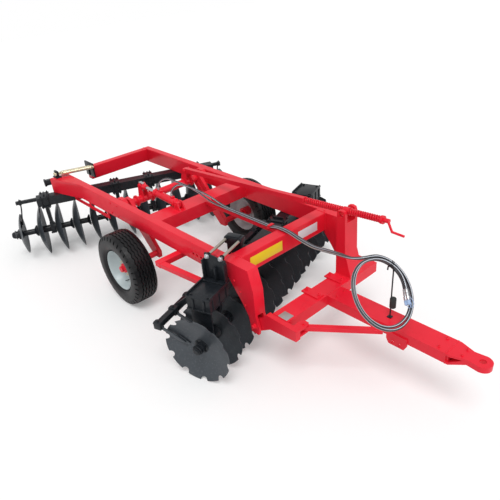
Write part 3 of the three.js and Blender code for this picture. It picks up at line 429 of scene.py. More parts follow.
def unwrap_round(piece):
    """Unwraps a piece on the Z axis: angle across, distance from the axis up."""
    mesh = piece.data
    layer = mesh.uv_layers.active or mesh.uv_layers.new(name="round")
    for loop in mesh.loops:
        x, y, _ = mesh.vertices[loop.vertex_index].co
        layer.data[loop.index].uv = (math.atan2(y, x) / math.tau + 0.5, math.hypot(x, y))


def between(start, end):
    """The matrix that stands the Z axis from start towards end."""
    start, end = Vector(start), Vector(end)
    return Matrix.Translation(start) @ (end - start).to_track_quat("Z", "Y").to_matrix().to_4x4()


def rod(name, start, end, radius, sides=20, chamfer=0.002):
    """A round bar with chamfered ends."""
    length = (Vector(end) - Vector(start)).length
    piece = turned(name, [(0, radius - chamfer), (chamfer, radius), (length - chamfer, radius),
                          (length, radius - chamfer)], sides)
    return put(piece, between(start, end))


def threaded(name, start, end, radius):
    """A threaded bar, its thread as rings."""
    pitch = 0.004
    length = (Vector(end) - Vector(start)).length
    turns = int(length / pitch)
    profile = [(0, radius * 0.86)]
    for turn in range(turns):
        profile.append(((turn + 0.5) * pitch, radius))
        profile.append(((turn + 1.0) * pitch, radius * 0.87))
    return put(turned(name, profile, 16), between(start, end))


def hex_bolt(size, stub):
    """A hexagon head on a washer, its seat at the origin, facing up; stub is the thread that shows above."""
    washer = turned("washer", [(0, size * 1.25), (size * 0.2, size * 1.25), (size * 0.24, size * 1.15)], 20)
    head = turned("head", [(size * 0.2, size * 0.96), (size * 0.85, size * 0.96),
                           (size * 1.0, size * 0.78)], 6)
    pieces = [washer, head]
    if stub:
        pieces.append(turned("stub", [(size * 0.9, size * 0.5), (size + stub * 0.8, size * 0.5),
                                      (size + stub, size * 0.4)], 12))
    return joined("bolt", pieces)


def bolts(name, places, size, stub=0.0):
    """The same bolt at every (seat, direction it faces), as one piece."""
    master = hex_bolt(size, stub)
    copies = [copy_of(master, between(seat, Vector(seat) + Vector(facing))) for seat, facing in places]
    drop(master)
    return joined(name, copies)


def sweep(name, points, radius, sides):
    """A closed tube along points, unwrapped once round by metres along."""
    points = [Vector(p) for p in points]
    count = len(points)
    tangents = [(points[min(i + 1, count - 1)] - points[max(i - 1, 0)]).normalized() for i in range(count)]
    side = tangents[0].orthogonal().normalized()
    verts, faces, travelled = [], [], [0.0]
    for i, (point, tangent) in enumerate(zip(points, tangents)):
        side = (side - tangent * side.dot(tangent)).normalized()
        over = tangent.cross(side)
        if i:
            travelled.append(travelled[-1] + (point - points[i - 1]).length)
        for k in range(sides):
            angle = math.tau * k / sides
            verts.append(point + (side * math.cos(angle) + over * math.sin(angle)) * radius)
    for i in range(count - 1):
        for k in range(sides):
            a, b = i * sides + k, i * sides + (k + 1) % sides
            faces.append((a, b, b + sides, a + sides))
    faces.append(tuple(reversed(range(sides))))
    faces.append(tuple(range((count - 1) * sides, count * sides)))
    mesh = bpy.data.meshes.new(name)
    mesh.from_pydata([tuple(v) for v in verts], [], faces)
    layer = mesh.uv_layers.new(name="along")
    for face_index, face in enumerate(mesh.polygons):
        ring = face_index // sides
        for corner, loop in enumerate(face.loop_indices):
            if face_index < (count - 1) * sides:
                k = face_index % sides + (1 if corner in (1, 2) else 0)
                layer.data[loop].uv = (k / sides, travelled[ring + (1 if corner in (2, 3) else 0)])
    piece = bpy.data.objects.new(name, mesh)
    bpy.context.collection.objects.link(piece)
    only(piece)
    bpy.ops.object.shade_smooth_by_angle(angle=TUBE_FACET_ANGLE)
    return piece


def smooth_path(points, spacing):
    """Points about a spacing apart on a smooth curve through the given ones."""
    points = [Vector(p) for p in points]
    ghosts = [points[0] * 2 - points[1]] + points + [points[-1] * 2 - points[-2]]
    path = []
    for a, b, c, d in zip(ghosts, ghosts[1:], ghosts[2:], ghosts[3:]):
        steps = max(2, round((c - b).length / spacing))
        for i in range(steps):
            t = i / steps
            path.append(0.5 * ((2 * b) + (c - a) * t + (2 * a - 5 * b + 4 * c - d) * t * t
                               + (3 * b - a - 3 * c + d) * t ** 3))
    path.append(points[-1])
    return path


def length_of(path):
    return sum((b - a).length for a, b in zip(path, path[1:]))


def dress(piece, finish, body, *nodes):
    """Gives a piece its finish and body, and lets it stand for CAD nodes."""
    piece.data.materials.clear()
    piece.data.materials.append(finish)
    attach(piece, body)
    if nodes:
        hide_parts(*nodes)
    return piece


def rounded(node, finish, body, width=0.004):
    """A copy of a frame node with rounded edges, which stands for it."""
    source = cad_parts[node]
    piece = bpy.data.objects.new(node + "_finished", source.data.copy())
    bpy.context.collection.objects.link(piece)
    only(piece)
    bpy.ops.object.mode_set(mode="EDIT")
    bpy.ops.mesh.select_all(action="SELECT")
    bpy.ops.mesh.remove_doubles(threshold=2e-5)
    bpy.ops.mesh.dissolve_limited(angle_limit=math.radians(1.0))
    object_mode()
    soften(piece, width, limit=32)
    flats = piece.modifiers.new("flats", "WEIGHTED_NORMAL")
    flats.keep_sharp = True
    bpy.ops.object.modifier_apply(modifier="flats")
    return dress(piece, finish, body, node)


def drilled(piece, seats, radius, depth):
    """Blind holes into a piece at every (place, direction out of it)."""
    cutters = []
    for seat, facing in seats:
        start = Vector(seat) + Vector(facing) * 0.01
        cutters.append(rod("drill", start, Vector(seat) - Vector(facing) * depth, radius, 20, 0.0005))
    finish = piece.data.materials[0]
    cut_away(piece, joined("drills", cutters))
    piece.data.materials.clear()
    piece.data.materials.append(finish)
    return piece


# ---------- camera, light and floor ----------
CAMERA_PLACE = at(4.5551, -3.0089, 3.2651)
CAMERA_YAW = math.radians(139.44)
CAMERA_PITCH = math.radians(29.88)
CAMERA_ROLL = math.radians(-4.86)
LENS = 36.514
LAMP_DISTANCE = 7
FLOOR_GLOW = 0.20
SKY_ON_THINGS = 0.62


def add_camera():
    yaw, pitch, roll = CAMERA_YAW, CAMERA_PITCH, CAMERA_ROLL
    forward = Vector((math.cos(yaw) * math.cos(pitch), math.sin(yaw) * math.cos(pitch), -math.sin(pitch)))
    level = Vector((math.sin(yaw), -math.cos(yaw), 0))
    upright = level.cross(forward)
    right = math.cos(roll) * level + math.sin(roll) * upright
    up = -math.sin(roll) * level + math.cos(roll) * upright
    data = bpy.data.cameras.new("view")
    data.lens = LENS
    data.sensor_width = 36.0
    data.clip_end = 100
    camera = bpy.data.objects.new("view", data)
    bpy.context.collection.objects.link(camera)
    turn = Matrix((right, up, -forward)).transposed().to_4x4()
    camera.matrix_world = Matrix.Translation(CAMERA_PLACE) @ turn
    bpy.context.scene.camera = camera


def add_sun(name, direction, energy, angle):
    data = bpy.data.lights.new(name, "SUN")
    data.energy = energy
    data.angle = angle
    lamp = bpy.data.objects.new(name, data)
    bpy.context.collection.objects.link(lamp)
    lamp.location = Vector(direction).normalized() * LAMP_DISTANCE
    lamp.rotation_euler = (-Vector(direction)).to_track_quat("-Z", "Y").to_euler()


def add_stage():
    scene = bpy.context.scene
    scene.view_settings.view_transform = "Standard"
    world = bpy.data.worlds.new("studio")
    scene.world = world
    world.use_nodes = True
    tree = world.node_tree
    backdrop = tree.nodes["Background"]
    backdrop.inputs["Color"].default_value = (1, 1, 1, 1)
    path = tree.nodes.new("ShaderNodeLightPath")
    seen = tree.nodes.new("ShaderNodeMapRange")
    tree.links.new(path.outputs["Is Camera Ray"], seen.inputs["Value"])
    seen.inputs["To Min"].default_value = SKY_ON_THINGS
    seen.inputs["To Max"].default_value = 1.0
    tree.links.new(seen.outputs["Result"], backdrop.inputs["Strength"])
    add_sun("key", (0.9, -0.9, 2.6), 1.35, 0.5)
    add_sun("fill", (1.6, 0.5, 0.9), 0.45, 0.9)

    object_mode()
    bpy.ops.object.select_all(action="DESELECT")
    bpy.ops.mesh.primitive_plane_add(size=60, location=(0, 0, -0.0005))
    floor = settle(bpy.context.object)
    floor.name = "floor"
    material = bpy.data.materials.new("pale_floor")
    material.use_nodes = True
    tree = material.node_tree
    tree.nodes.clear()
    output = tree.nodes.new("ShaderNodeOutputMaterial")
    paint = tree.nodes.new("ShaderNodeBsdfDiffuse")
    paint.inputs["Color"].default_value = (0.80, 0.80, 0.80, 1)
    glow = tree.nodes.new("ShaderNodeEmission")
    path = tree.nodes.new("ShaderNodeLightPath")
    share = tree.nodes.new("ShaderNodeMath")
    share.operation = "MULTIPLY"
    share.inputs[1].default_value = FLOOR_GLOW
    total = tree.nodes.new("ShaderNodeAddShader")
    tree.links.new(path.outputs["Is Camera Ray"], share.inputs[0])
    tree.links.new(share.outputs[0], glow.inputs["Strength"])
    tree.links.new(paint.outputs[0], total.inputs[0])
    tree.links.new(glow.outputs[0], total.inputs[1])
    tree.links.new(total.outputs[0], output.inputs["Surface"])
    floor.data.materials.append(material)


# ---------- hoses ----------
HOSE_RADIUS = 0.011
# Half of the distance between strands of hose that lie side by side.
LAY_GAP = 0.0115
COIL_CENTRE = at(2.808, -0.229, 0.995)
COIL_RADIUS = 0.278
COIL_TILT = math.radians(49)
HOSE_A = [(-.100, -.290, 1.092), (-.100, -.290, 1.112), (-.093, -.284, 1.156), (-.073, -.266, 1.192),
          (-.044, -.240, 1.215), (-.011, -.211, 1.219), (.019, -.185, 1.207), (.120, -.092, 1.142),
          (.230, -.020, 1.072), (.350, .012, 1.012), (.470, .017, .982), (.620, .017, .979),
          (.900, .017, .979), (1.150, .017, .979), (1.300, .017, .979), (1.360, .017, .980),
          (1.460, .016, 1.000), (1.600, .008, 1.002), (1.760, -.014, .990), (1.960, -.050, .996),
          (2.160, -.100, 1.052), (2.340, -.170, 1.122), (2.440, -.212, 1.160), (2.520, -.226, 1.186),
          (2.588, -.196, 1.202)]
HOSE_B = [(.150, -.290, 1.080), (.150, -.290, 1.100), (.156, -.283, 1.144), (.174, -.264, 1.180),
          (.200, -.235, 1.203), (.230, -.202, 1.207), (.256, -.172, 1.195), (.345, -.074, 1.126),
          (.435, .002, 1.058), (.530, .036, 1.004), (.640, .043, .981), (.780, .043, .979),
          (1.000, .043, .979), (1.150, .043, .979), (1.300, .043, .979), (1.360, .043, .980),
          (1.460, .042, 1.000), (1.600, .034, 1.002), (1.760, .012, .990), (1.960, -.024, .996),
          (2.160, -.074, 1.052), (2.340, -.146, 1.118), (2.440, -.190, 1.152), (2.516, -.208, 1.174),
          (2.580, -.184, 1.188)]


def coil_point(degrees, outward, across):
    """A point of the coil by its angle from the top, with its offsets in the coil's section."""
    angle = math.radians(degrees)
    up = Vector((-math.cos(COIL_TILT), 0, math.sin(COIL_TILT)))
    axis = Vector((math.sin(COIL_TILT), 0, math.cos(COIL_TILT)))
    radial = up * math.cos(angle) + Vector((0, 1, 0)) * math.sin(angle)
    return COIL_CENTRE + radial * (COIL_RADIUS + outward) + axis * across


def eased(value, low, high):
    t = min(1, max(0, (value - low) / (high - low)))
    return t * t * (3 - 2 * t)


def hose_path(route, across, loose_outward, end_angle):
    """Along the frame, over to the coil, once round it and in to the coupling."""
    points = [at(*p) for p in route]
    for degrees in range(22, end_angle + 1, 12):
        outward = LAY_GAP + (loose_outward - LAY_GAP) * eased(degrees, 110, 190)
        outward += (-LAY_GAP - loose_outward) * eased(degrees, 318, 382)
        outward -= 0.0273 * eased(degrees, end_angle - 44, end_angle)
        offset = across * (1 - 0.55 * eased(degrees, 110, 190) + 0.55 * eased(degrees, 300, 370))
        points.append(coil_point(degrees, outward, offset))
    return smooth_path(points, 0.014)


def add_hose(name, route, across, loose_outward, end_angle, nodes):
    path = hose_path(route, across, loose_outward, end_angle)
    hose = sweep(name, path, HOSE_RADIUS, 12)
    hose.data.materials.append(HOSE)
    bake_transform(hose)
    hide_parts(*nodes)
    start = path[-1]
    heading = (path[-1] - path[-2]).normalized()
    body = turned(name + "_coupler", [(-.004, .012), (0, .0145), (.016, .0145), (.018, .0120), (.024, .0120),
                                      (.026, .0155), (.052, .0155), (.054, .0125), (.060, .0125)], 24)
    put(body, between(start, start + heading))
    dress(body, STEEL, "drawbar_assembly", "hose_couplings")
    cap = turned(name + "_cap", [(.058, .0135), (.060, .0165), (.066, .0165), (.067, .0150), (.088, .0145),
                                 (.094, .0120), (.096, .006)], 24)
    put(cap, between(start, start + heading))
    dress(cap, CAP, "drawbar_assembly")
    loop = [(0.094, (0, 0, 0)), (0.118, (0.02, 0, 0.012)), (0.085, (0.038, 0.004, 0.022)),
            (0.032, (0.02, 0, 0.01))]
    loop = [start + heading * ahead + Vector(aside) for ahead, aside in loop]
    strap = sweep(name + "_cap_strap", smooth_path(loop, 0.006), 0.0022, 6)
    dress(strap, CAP, "drawbar_assembly")
    length_of(path)
    sleeve = [(-.002, .0125), (0, .0138), (.030, .0138), (.034, .0122)]
    for label, point, towards, body_name in (("port", path[0], path[1], "lift_cylinder_barrel"),
                                             ("end", path[-1], path[-2], "drawbar_assembly")):
        ferrule = turned(f"{name}_{label}_ferrule", sleeve, 20)
        put(ferrule, between(point, towards))
        dress(ferrule, STEEL, body_name)


def add_hoses():
    add_hose("hose_a", HOSE_A, LAY_GAP, 0.013, 478, ["hose_a_frame", "hose_a_free", "hose_coil"])
    add_hose("hose_b", HOSE_B, -LAY_GAP, -0.013, 484, ["hose_b_frame", "hose_b_free"])
    # Clip on the support bar, and the tie at the stand.
    clip = block("hose_clip", at(1.328, -0.012, 0.9665), at(1.362, 0.072, 0.972), 0.001)
    straps = [block("clip_side", at(1.328, y, 0.967), at(1.362, y + 0.004, 0.996), 0.001)
              for y in (-.002, .028, .058)]
    top = block("clip_top", at(1.328, -0.004, 0.992), at(1.362, 0.064, 0.997), 0.001)
    dress(joined("hose_clip", [clip, top, *straps]), RED, "frame")
    tie_turns = []
    for degrees in (58, 61):
        ring = [coil_point(degrees, 0.0262 * math.cos(a), 0.0262 * math.sin(a))
                for a in (math.tau * k / 16 for k in range(17))]
        tie_turns.append(sweep("tie", ring, 0.0034, 8))
    dress(joined("coil_tie", tie_turns), BLACK, "drawbar_assembly")


def add_stand():
    """Thin rod on the drawbar, hooked under the coil, with a rubber grip."""
    foot = at(2.745, 0.005, 0.5963)
    top = foot + Vector((0, 0, 0.452))
    path = [foot + Vector((0.004, -0.012, 0.006)), foot + Vector((0, 0, 0.02)), foot + Vector((0, 0, 0.15)),
            foot + Vector((-0.001, 0.001, 0.30)), top]
    stem = sweep("stand_rod", smooth_path(path, 0.02), 0.0060, 10)
    bends = [(0, 0, -.03), (0, 0, 0), (-.012, .004, .028), (-.045, 0, .03), (-.05, -.006, -.006)]
    hook = sweep("stand_hook", smooth_path([top + Vector(bend) for bend in bends], 0.006), 0.0060, 10)
    plate = block("stand_foot", foot + Vector((-0.02, -0.02, 0.0)), foot + Vector((0.02, 0.02, 0.006)), 0.002)
    dress(joined("stand", [stem, hook, plate]), BLACK, "drawbar_assembly", "hose_stand")
    grip = turned("grip", [(0, 0.023), (0.004, 0.027), (0.014, 0.027), (0.016, 0.0255), (0.020, 0.027),
                           (0.086, 0.027), (0.093, 0.024), (0.096, 0.014)], 28)
    put(grip, Matrix.Translation(foot + Vector((0.010, 0.013, 0.095))))
    dress(grip, GRIP, "drawbar_assembly")


# ---------- disc gangs ----------
def disc_master(radius, dish_sign, notches):
    """A dished disc on the Z axis, its hub at the origin, with scallops round its rim."""
    rings = [0.045, 0.10, 0.15, 0.20, 0.245, 0.285, radius - 0.012]
    rings = [r for r in rings if r <= radius - 0.012]
    front = [(dish_sign * DISC_DISH * (r / DISC_RADIUS) ** 2 - DISC_HALF, r) for r in rings]
    back = [(dish_sign * DISC_DISH * (r / DISC_RADIUS) ** 2 + DISC_HALF, r) for r in rings]
    tip = dish_sign * DISC_DISH * (radius / DISC_RADIUS) ** 2
    edge = [(tip - 0.001, radius), (tip + 0.001, radius)]
    disc = turned("disc", front + edge + back[::-1], 120, closed=True)
    if notches:
        cutters = []
        for i in range(notches):
            angle = math.tau * (i + 0.35) / notches
            spot = Vector((math.cos(angle), math.sin(angle), 0)) * (radius + 0.001)
            cutter = turned("cutter", [(-0.15, 0.036), (0.15, 0.036)], 20)
            cutters.append(put(cutter, Matrix.Translation(spot)))
        cut_away(disc, joined("cutters", cutters))
    unwrap_round(disc)
    return disc


def cut_away(piece, cutter):
    """Cuts a closed shape out of a piece."""
    only(piece)
    cut = piece.modifiers.new("cut", "BOOLEAN")
    cut.operation = "DIFFERENCE"
    cut.solver = "EXACT"
    cut.object = cutter
    bpy.ops.object.modifier_apply(modifier="cut")
    drop(cutter)
    bpy.ops.object.shade_smooth_by_angle(angle=FACET_ANGLE)
    return piece


def spool(start, end, with_bearing):
    """Cast spacer between two discs, waisted, or straight where a bearing runs on it."""
    start, end = start + 0.006, end - 0.006
    if with_bearing:
        profile = [(start, .0455), (end - .012, .0455), (end - .010, .066), (end, .068)]
    else:
        profile = [(start, .072), (start + .012, .074), (start + .020, .066), (start + .040, .036),
                   (end - .040, .036), (end - .020, .066), (end - .012, .074), (end, .072)]
    return turned("spool", profile, 32)


def axle_end(face):
    """Washer, spacer, lock plate, two nuts and the threaded end that stand out from the last hub."""
    parts = [
        turned("end_washer", [(DISC_HALF, .070), (.012, .070), (.015, .062)], 32),
        turned("end_spacer", [(.013, .046), (.017, .049), (.046, .049), (.050, .045)], 28),
        turned("lock_plate", [(.049, .066), (.057, .066), (.059, .063)], 4),
        turned("axle_nut", [(.058, .045), (.062, .049), (.078, .049), (.082, .045)], 6),
        turned("lock_nut", [(.083, .039), (.086, .042), (.094, .042), (.097, .038)], 6),
        turned("axle_thread", [(.090, .027), (.102, .027), (.1045, .023)], 20),
    ]
    for k in range(4):
        angle = math.tau * (k + 0.5) / 4
        lug = turned("lug", [(.014, .009), (.024, .009), (.026, .007)], 6)
        parts.append(put(lug, Matrix.Translation((math.cos(angle) * .058, math.sin(angle) * .058, 0))))
    made = [copy_of(part, face) for part in parts]
    for part in parts:
        drop(part)
    return made


def add_gang(name, matrix, dish_sign, notches, bays, node, body, small_first):
    whole = matrix @ Z_TO_Y
    hubs = [i * DISC_SPACING - dish_sign * DISC_HUB_SET for i in range(DISC_COUNT)]
    master = disc_master(DISC_RADIUS, dish_sign, notches)
    small = disc_master(DISC_SMALL_RADIUS, dish_sign, notches)
    discs = []
    for i, hub in enumerate(hubs):
        source = small if small_first and i == 0 else master
        turn = Matrix.Rotation(i * DISC_TURN, 4, "Z")
        discs.append(copy_of(source, whole @ Matrix.Translation((0, 0, hub)) @ turn))
    drop(master)
    drop(small)
    dress(joined(name + "_discs", discs), DISC, body, node)
    spools = [put(spool(hub, next_hub, bay in bays), whole)
              for bay, (hub, next_hub) in enumerate(zip(hubs, hubs[1:]))]
    for flip, origin in ((-1, hubs[0]), (1, hubs[-1])):
        face = whole @ Matrix.Translation((0, 0, origin)) @ Matrix.Scale(flip, 4, (0, 0, 1))
        spools.extend(axle_end(face))
    dress(joined(name + "_spools", spools), BLACK, body)


def local(matrix, x, y, z):
    return matrix @ Vector((x, y, z))


def strap(name, start, end, width, thickness, sideways, edge=0.0015):
    """A flat bar from start to end; its thickness lies along sideways."""
    start, end, sideways = Vector(start), Vector(end), Vector(sideways).normalized()
    along = (end - start).normalized()
    across = along.cross(sideways).normalized()
    sideways = across.cross(along)
    length = (end - start).length
    piece = block(name, (0, -width / 2, -thickness / 2), (length, width / 2, thickness / 2), edge)
    turn = Matrix((along, across, sideways)).transposed().to_4x4()
    return put(piece, Matrix.Translation(start) @ turn)


def add_hangers(name, matrix, bays, boxed):
    """Bearing housings, their bolts and the clamps that hold the hangers to the gang beam."""
    beam_half, beam_bottom = GANG_BEAM_HALF, GANG_BEAM_BOTTOM
    rings = [(.0225, .080), (.0262, .080), (.0290, .074), (.0300, .060), (.0300, .050)]
    pieces, seats = [], []
    turn = matrix.to_3x3()
    for bay in bays:
        middle = (bay + 0.5) * DISC_SPACING
        for flip in (-1, 1):
            cover = turned("bearing_cover", rings, 32)
            face = matrix @ Matrix.Translation((0, middle, 0)) @ Z_TO_Y @ Matrix.Scale(flip, 4, (0, 0, 1))
            pieces.append(copy_of(cover, face))
            drop(cover)
            for k in range(4):
                angle = math.tau * (k + 0.5) / 4
                x, z = math.cos(angle) * .069, math.sin(angle) * .069
                seats.append((local(matrix, x, middle + flip * .0262, z), turn @ Vector((0, flip, 0))))
        if bay in boxed:
            continue
        for x in (-beam_half - .012, beam_half + .012):
            for y in (-.04, .04):
                bolt = rod("u_bolt", (x, middle + y, beam_bottom - .03),
                           (x, middle + y, beam_bottom + .150), .008, 12)
                pieces.append(put(bolt, matrix))
                seats.append((local(matrix, x, middle + y, beam_bottom + .131), turn @ UP))
                seats.append((local(matrix, x, middle + y, beam_bottom - .014), turn @ DOWN))
        top = block("clamp_top", (-beam_half - .032, middle - .062, beam_bottom + .1155),
                    (beam_half + .032, middle + .062, beam_bottom + .1305), .004)
        rib = block("clamp_rib", (-beam_half + .01, middle - .008, beam_bottom + .128),
                    (beam_half - .01, middle + .008, beam_bottom + .156), .004)
        low = block("clamp_foot", (-beam_half - .030, middle - .058, beam_bottom - .014),
                    (beam_half + .030, middle + .058, beam_bottom - .0005), .004)
        pieces.extend(put(part, matrix) for part in (top, rib, low))
    dress(joined(name + "_hanger_clamps", pieces), BLACK, "frame")
    dress(bolts(name + "_hanger_bolts", seats, 0.0085), BLACK, "frame")


def hollow_face(index, dish_sign, x, z, gap):
    """A point a gap away from a disc's hollow face, in its gang's coordinates."""
    rise = DISC_DISH * (math.hypot(x, z) / DISC_RADIUS) ** 2
    return Vector((x, index * DISC_SPACING + dish_sign * (rise - DISC_HUB_SET + DISC_HALF + gap), z))


def add_scrapers():
    """Straps and blades from each scraper bar to the hollow faces of the discs."""
    straps, collars, seats = [], [], []
    turn = FRONT_GANG.to_3x3()
    for i in range(9):
        top = Vector((-.322, i * DISC_SPACING - .052, .200))
        tip = hollow_face(i, -1, -.150, .010, .020)
        straps.append(strap("scraper_strap", top, tip, 0.038, 0.009, (0, 1, 0)))
        straps.append(strap("scraper_blade", hollow_face(i, -1, -.215, .075, .006),
                            hollow_face(i, -1, -.125, -.015, .006), 0.060, 0.005, (0, 1, 0)))
        low, high = (-.383, top.y - .024, .177), (-.307, top.y + .024, .253)
        collars.append(block("scraper_collar", low, high, .005))
        for x, facing in ((-.383, -1), (-.307, 1)):
            seats.append((local(FRONT_GANG, x, top.y, .215), turn @ Vector((facing, 0, 0))))
        seats.append((local(FRONT_GANG, -.345, top.y, .253), turn @ UP))
    dress(joined("front_scraper_straps", [put(p, FRONT_GANG) for p in straps]), DISC, "frame")
    dress(joined("front_scraper_collars", [put(p, FRONT_GANG) for p in collars]), BLACK, "frame")
    dress(bolts("front_scraper_bolts", seats, 0.011, 0.012), BLACK, "frame")

    straps, collars, seats = [], [], []
    turn = REAR_GANG.to_3x3()
    for i in range(DISC_COUNT):
        top = Vector((-.132, i * DISC_SPACING + .022, .378))
        knee = Vector((-.172, i * DISC_SPACING + .012, .335 if i else .290))
        tip = hollow_face(i, 1, -.150, .060, .014)
        path = smooth_path([top, knee, knee.lerp(tip, 0.5), tip], 0.03)
        straps.append(sweep("scraper_rod", path, .009, 10))
        straps.append(strap("scraper_blade", hollow_face(i, 1, -.185, .095, .006),
                            hollow_face(i, 1, -.120, .010, .006), 0.052, 0.005, (0, 1, 0)))
        low, high = (-.160, top.y - .018, .354), (-.104, top.y + .018, .410)
        collars.append(block("scraper_collar", low, high, .004))
        seats.append((local(REAR_GANG, -.132, top.y, .410), turn @ UP))
    dress(joined("rear_scraper_rods", [put(p, REAR_GANG) for p in straps]), BLACK, "frame")
    dress(joined("rear_scraper_collars", [put(p, REAR_GANG) for p in collars]), BLACK, "frame")
    dress(bolts("rear_scraper_bolts", seats, 0.009, 0.012), BLACK, "frame")


def chamfer_corner(piece, low, high, amount):
    """Slopes one upper edge of a plate: its points within the box drop by an amount."""
    pick(piece, "points", lambda p: all(low[i] <= p[i] <= high[i] for i in range(3)))
    bpy.ops.transform.translate(value=(0, 0, -amount))
    object_mode()
    return piece


def add_front_clamp():
    """Two tower plates on the gang beam with long studs over the side beam between them."""
    base, stud_z, near, far = 0.4600, 0.725, 0.400, 0.738
    face = chamfer_corner(block("outer_plate", (-.088, near, base + .026), (.116, near + .026, .753), 0),
                          (.10, near - .01, .7), (.13, near + .04, .8), .055)
    parts = [
        soften(face, .006),
        block("outer_foot", (-.100, near - .055, base + .026), (.128, near + .040, base + .042), .004),
        block("outer_side", (-.100, near - .040, base + .030), (-.084, near + .026, .700), .004),
        block("outer_rib", (.020, near - .038, base + .030), (.036, near + .004, .640), .004),
        block("outer_edge", (.108, near - .030, base + .030), (.124, near + .024, .680), .004),
        block("inner_block", (-.072, far + .018, base), (.080, far + .078, .700), .008),
        block("inner_head", (-.084, far, .672), (.092, far + .090, .742), .007),
        block("inner_foot", (-.090, far - .004, base), (.098, far + .100, base + .018), .004),
        block("inner_cap", (-.060, far + .010, .742), (.066, far + .080, .750), .003),
    ]
    dress(joined("clamp_towers", [put(p, FRONT_GANG) for p in parts]), BLACK, "frame", "front_gang_clamp")
    studs, nuts, heads = [], [], []
    turn = FRONT_GANG.to_3x3()
    for x in (-.058, .080):
        a, b = Vector((x, near - .012, stud_z)), Vector((x, far + .020, stud_z))
        studs.append(put(rod("stud_shank", a, b, .0105, 20), FRONT_GANG))
        sleeve_start, sleeve_end = Vector((x, near + .042, stud_z)), Vector((x, far - .016, stud_z))
        studs.append(put(rod("stud_sleeve", sleeve_start, sleeve_end, .0140, 24, .002), FRONT_GANG))
        heads.append((local(FRONT_GANG, x, near - .001, stud_z), turn @ RIGHT))
        nuts.append((local(FRONT_GANG, x, near + .0265, stud_z), turn @ LEFT))
        nuts.append((local(FRONT_GANG, x, far - .001, stud_z), turn @ RIGHT))
    dress(joined("clamp_studs", studs), SLEEVE, "frame")
    dress(bolts("clamp_nuts", nuts, 0.019), BLACK, "frame")
    dress(bolts("clamp_heads", heads, 0.019), STEEL, "frame")


def add_rear_clamp():
    """End plate, square bar, lug and long studs at the rear crossbeam's right end."""
    plate_y = -0.3053
    plate = block("rear_plate", at(-1.850, plate_y - .022, .880), at(-1.622, plate_y, 1.070), .005)
    rib = block("rear_rib", at(-1.760, plate_y - .036, .890), at(-1.742, plate_y - .018, 1.000), .004)
    bar = strap("rear_bar", at(-1.884, -.620, .905), at(-1.946, -.872, .905), .068, .068, (0, 0, 1), .005)
    cap = strap("rear_bar_cap", at(-1.944, -.862, .905), at(-1.950, -.886, .905), .080, .080, (0, 0, 1), .004)
    lug = block("rear_lug", at(-1.834, -.766, .9863), at(-1.744, -.738, 1.072), .006)
    foot = block("rear_lug_foot", at(-1.850, -.790, .9863), at(-1.728, -.716, .998), .004)
    dress(joined("rear_clamp_steel", [plate, rib, bar, cap, lug, foot]), BLACK, "frame", "rear_gang_clamp")
    studs, nuts = [], []
    for shift in (-.014, .028):
        a, b = at(-1.636 + shift, plate_y - .010, 1.030), at(-1.800 + shift, -.782, 1.030)
        along = (b - a).normalized()
        studs.append(rod("stud", a, b - along * .10, .0118, 20))
        studs.append(threaded("stud_thread", b - along * .102, b, .0115))
        studs.append(rod("sleeve", a + along * .03, b - along * .10, .0225, 28, .003))
        nuts.extend([(a + along * .012, along), (b - along * .078, -along), (b - along * .016, along)])
    dress(joined("rear_studs", studs), ZINC, "frame")
    dress(bolts("rear_stud_nuts", nuts, 0.019), ZINC, "frame")


def add_end_boxes():
    """Lids, flanges, ribs and bolts of the boxes on the front gang beam's ends, and the near end's apron."""
    parts, seats = [], []
    turn = FRONT_GANG.to_3x3()
    top, bottom = .4857, .3547
    for y0, y1 in ((.104, .420), (2.350, 2.660)):
        middle = (y0 + y1) / 2
        parts.append(block("lid", (-.124, y0 - .006, top - .010), (.124, y1 + .006, top + .003), .003))
        for x in (-.124, .110):
            parts.append(block("flange", (x, y0 + .010, top), (x + .014, y1 - .010, top + .020), .003))
        parts.append(block("lip", (-.122, y0 - .010, bottom - .004), (.122, y1 + .010, bottom + .014), .004))
        for y in (y0 + .05, middle, y1 - .05):
            for x in (-.1195, .1195):
                low, high = (x - .007, y - .006, bottom), (x + .007, y + .006, top - .006)
                parts.append(block("rib", low, high, .003))
        for x in (-.052, .060):
            low, high = (x - .010, y0 - .012, bottom + .010), (x + .010, y0 + .004, top - .012)
            parts.append(block("end_rib", low, high, .003))
        for x in (-.085, .085):
            for y in (y0 + .03, y1 - .03):
                seats.append((local(FRONT_GANG, x, y, top + .003), turn @ UP))
    apron = block("apron", (-.104, .126, .088), (.104, .140, bottom + .002), .003)
    brace = block("apron_rib", (-.008, .136, .110), (.008, .170, bottom + .002), .003)
    parts.extend([apron, brace])
    dress(joined("end_box_trim", [put(p, FRONT_GANG) for p in parts]), BLACK, "frame")
    dress(bolts("end_box_bolts", seats, 0.012), BLACK, "frame")


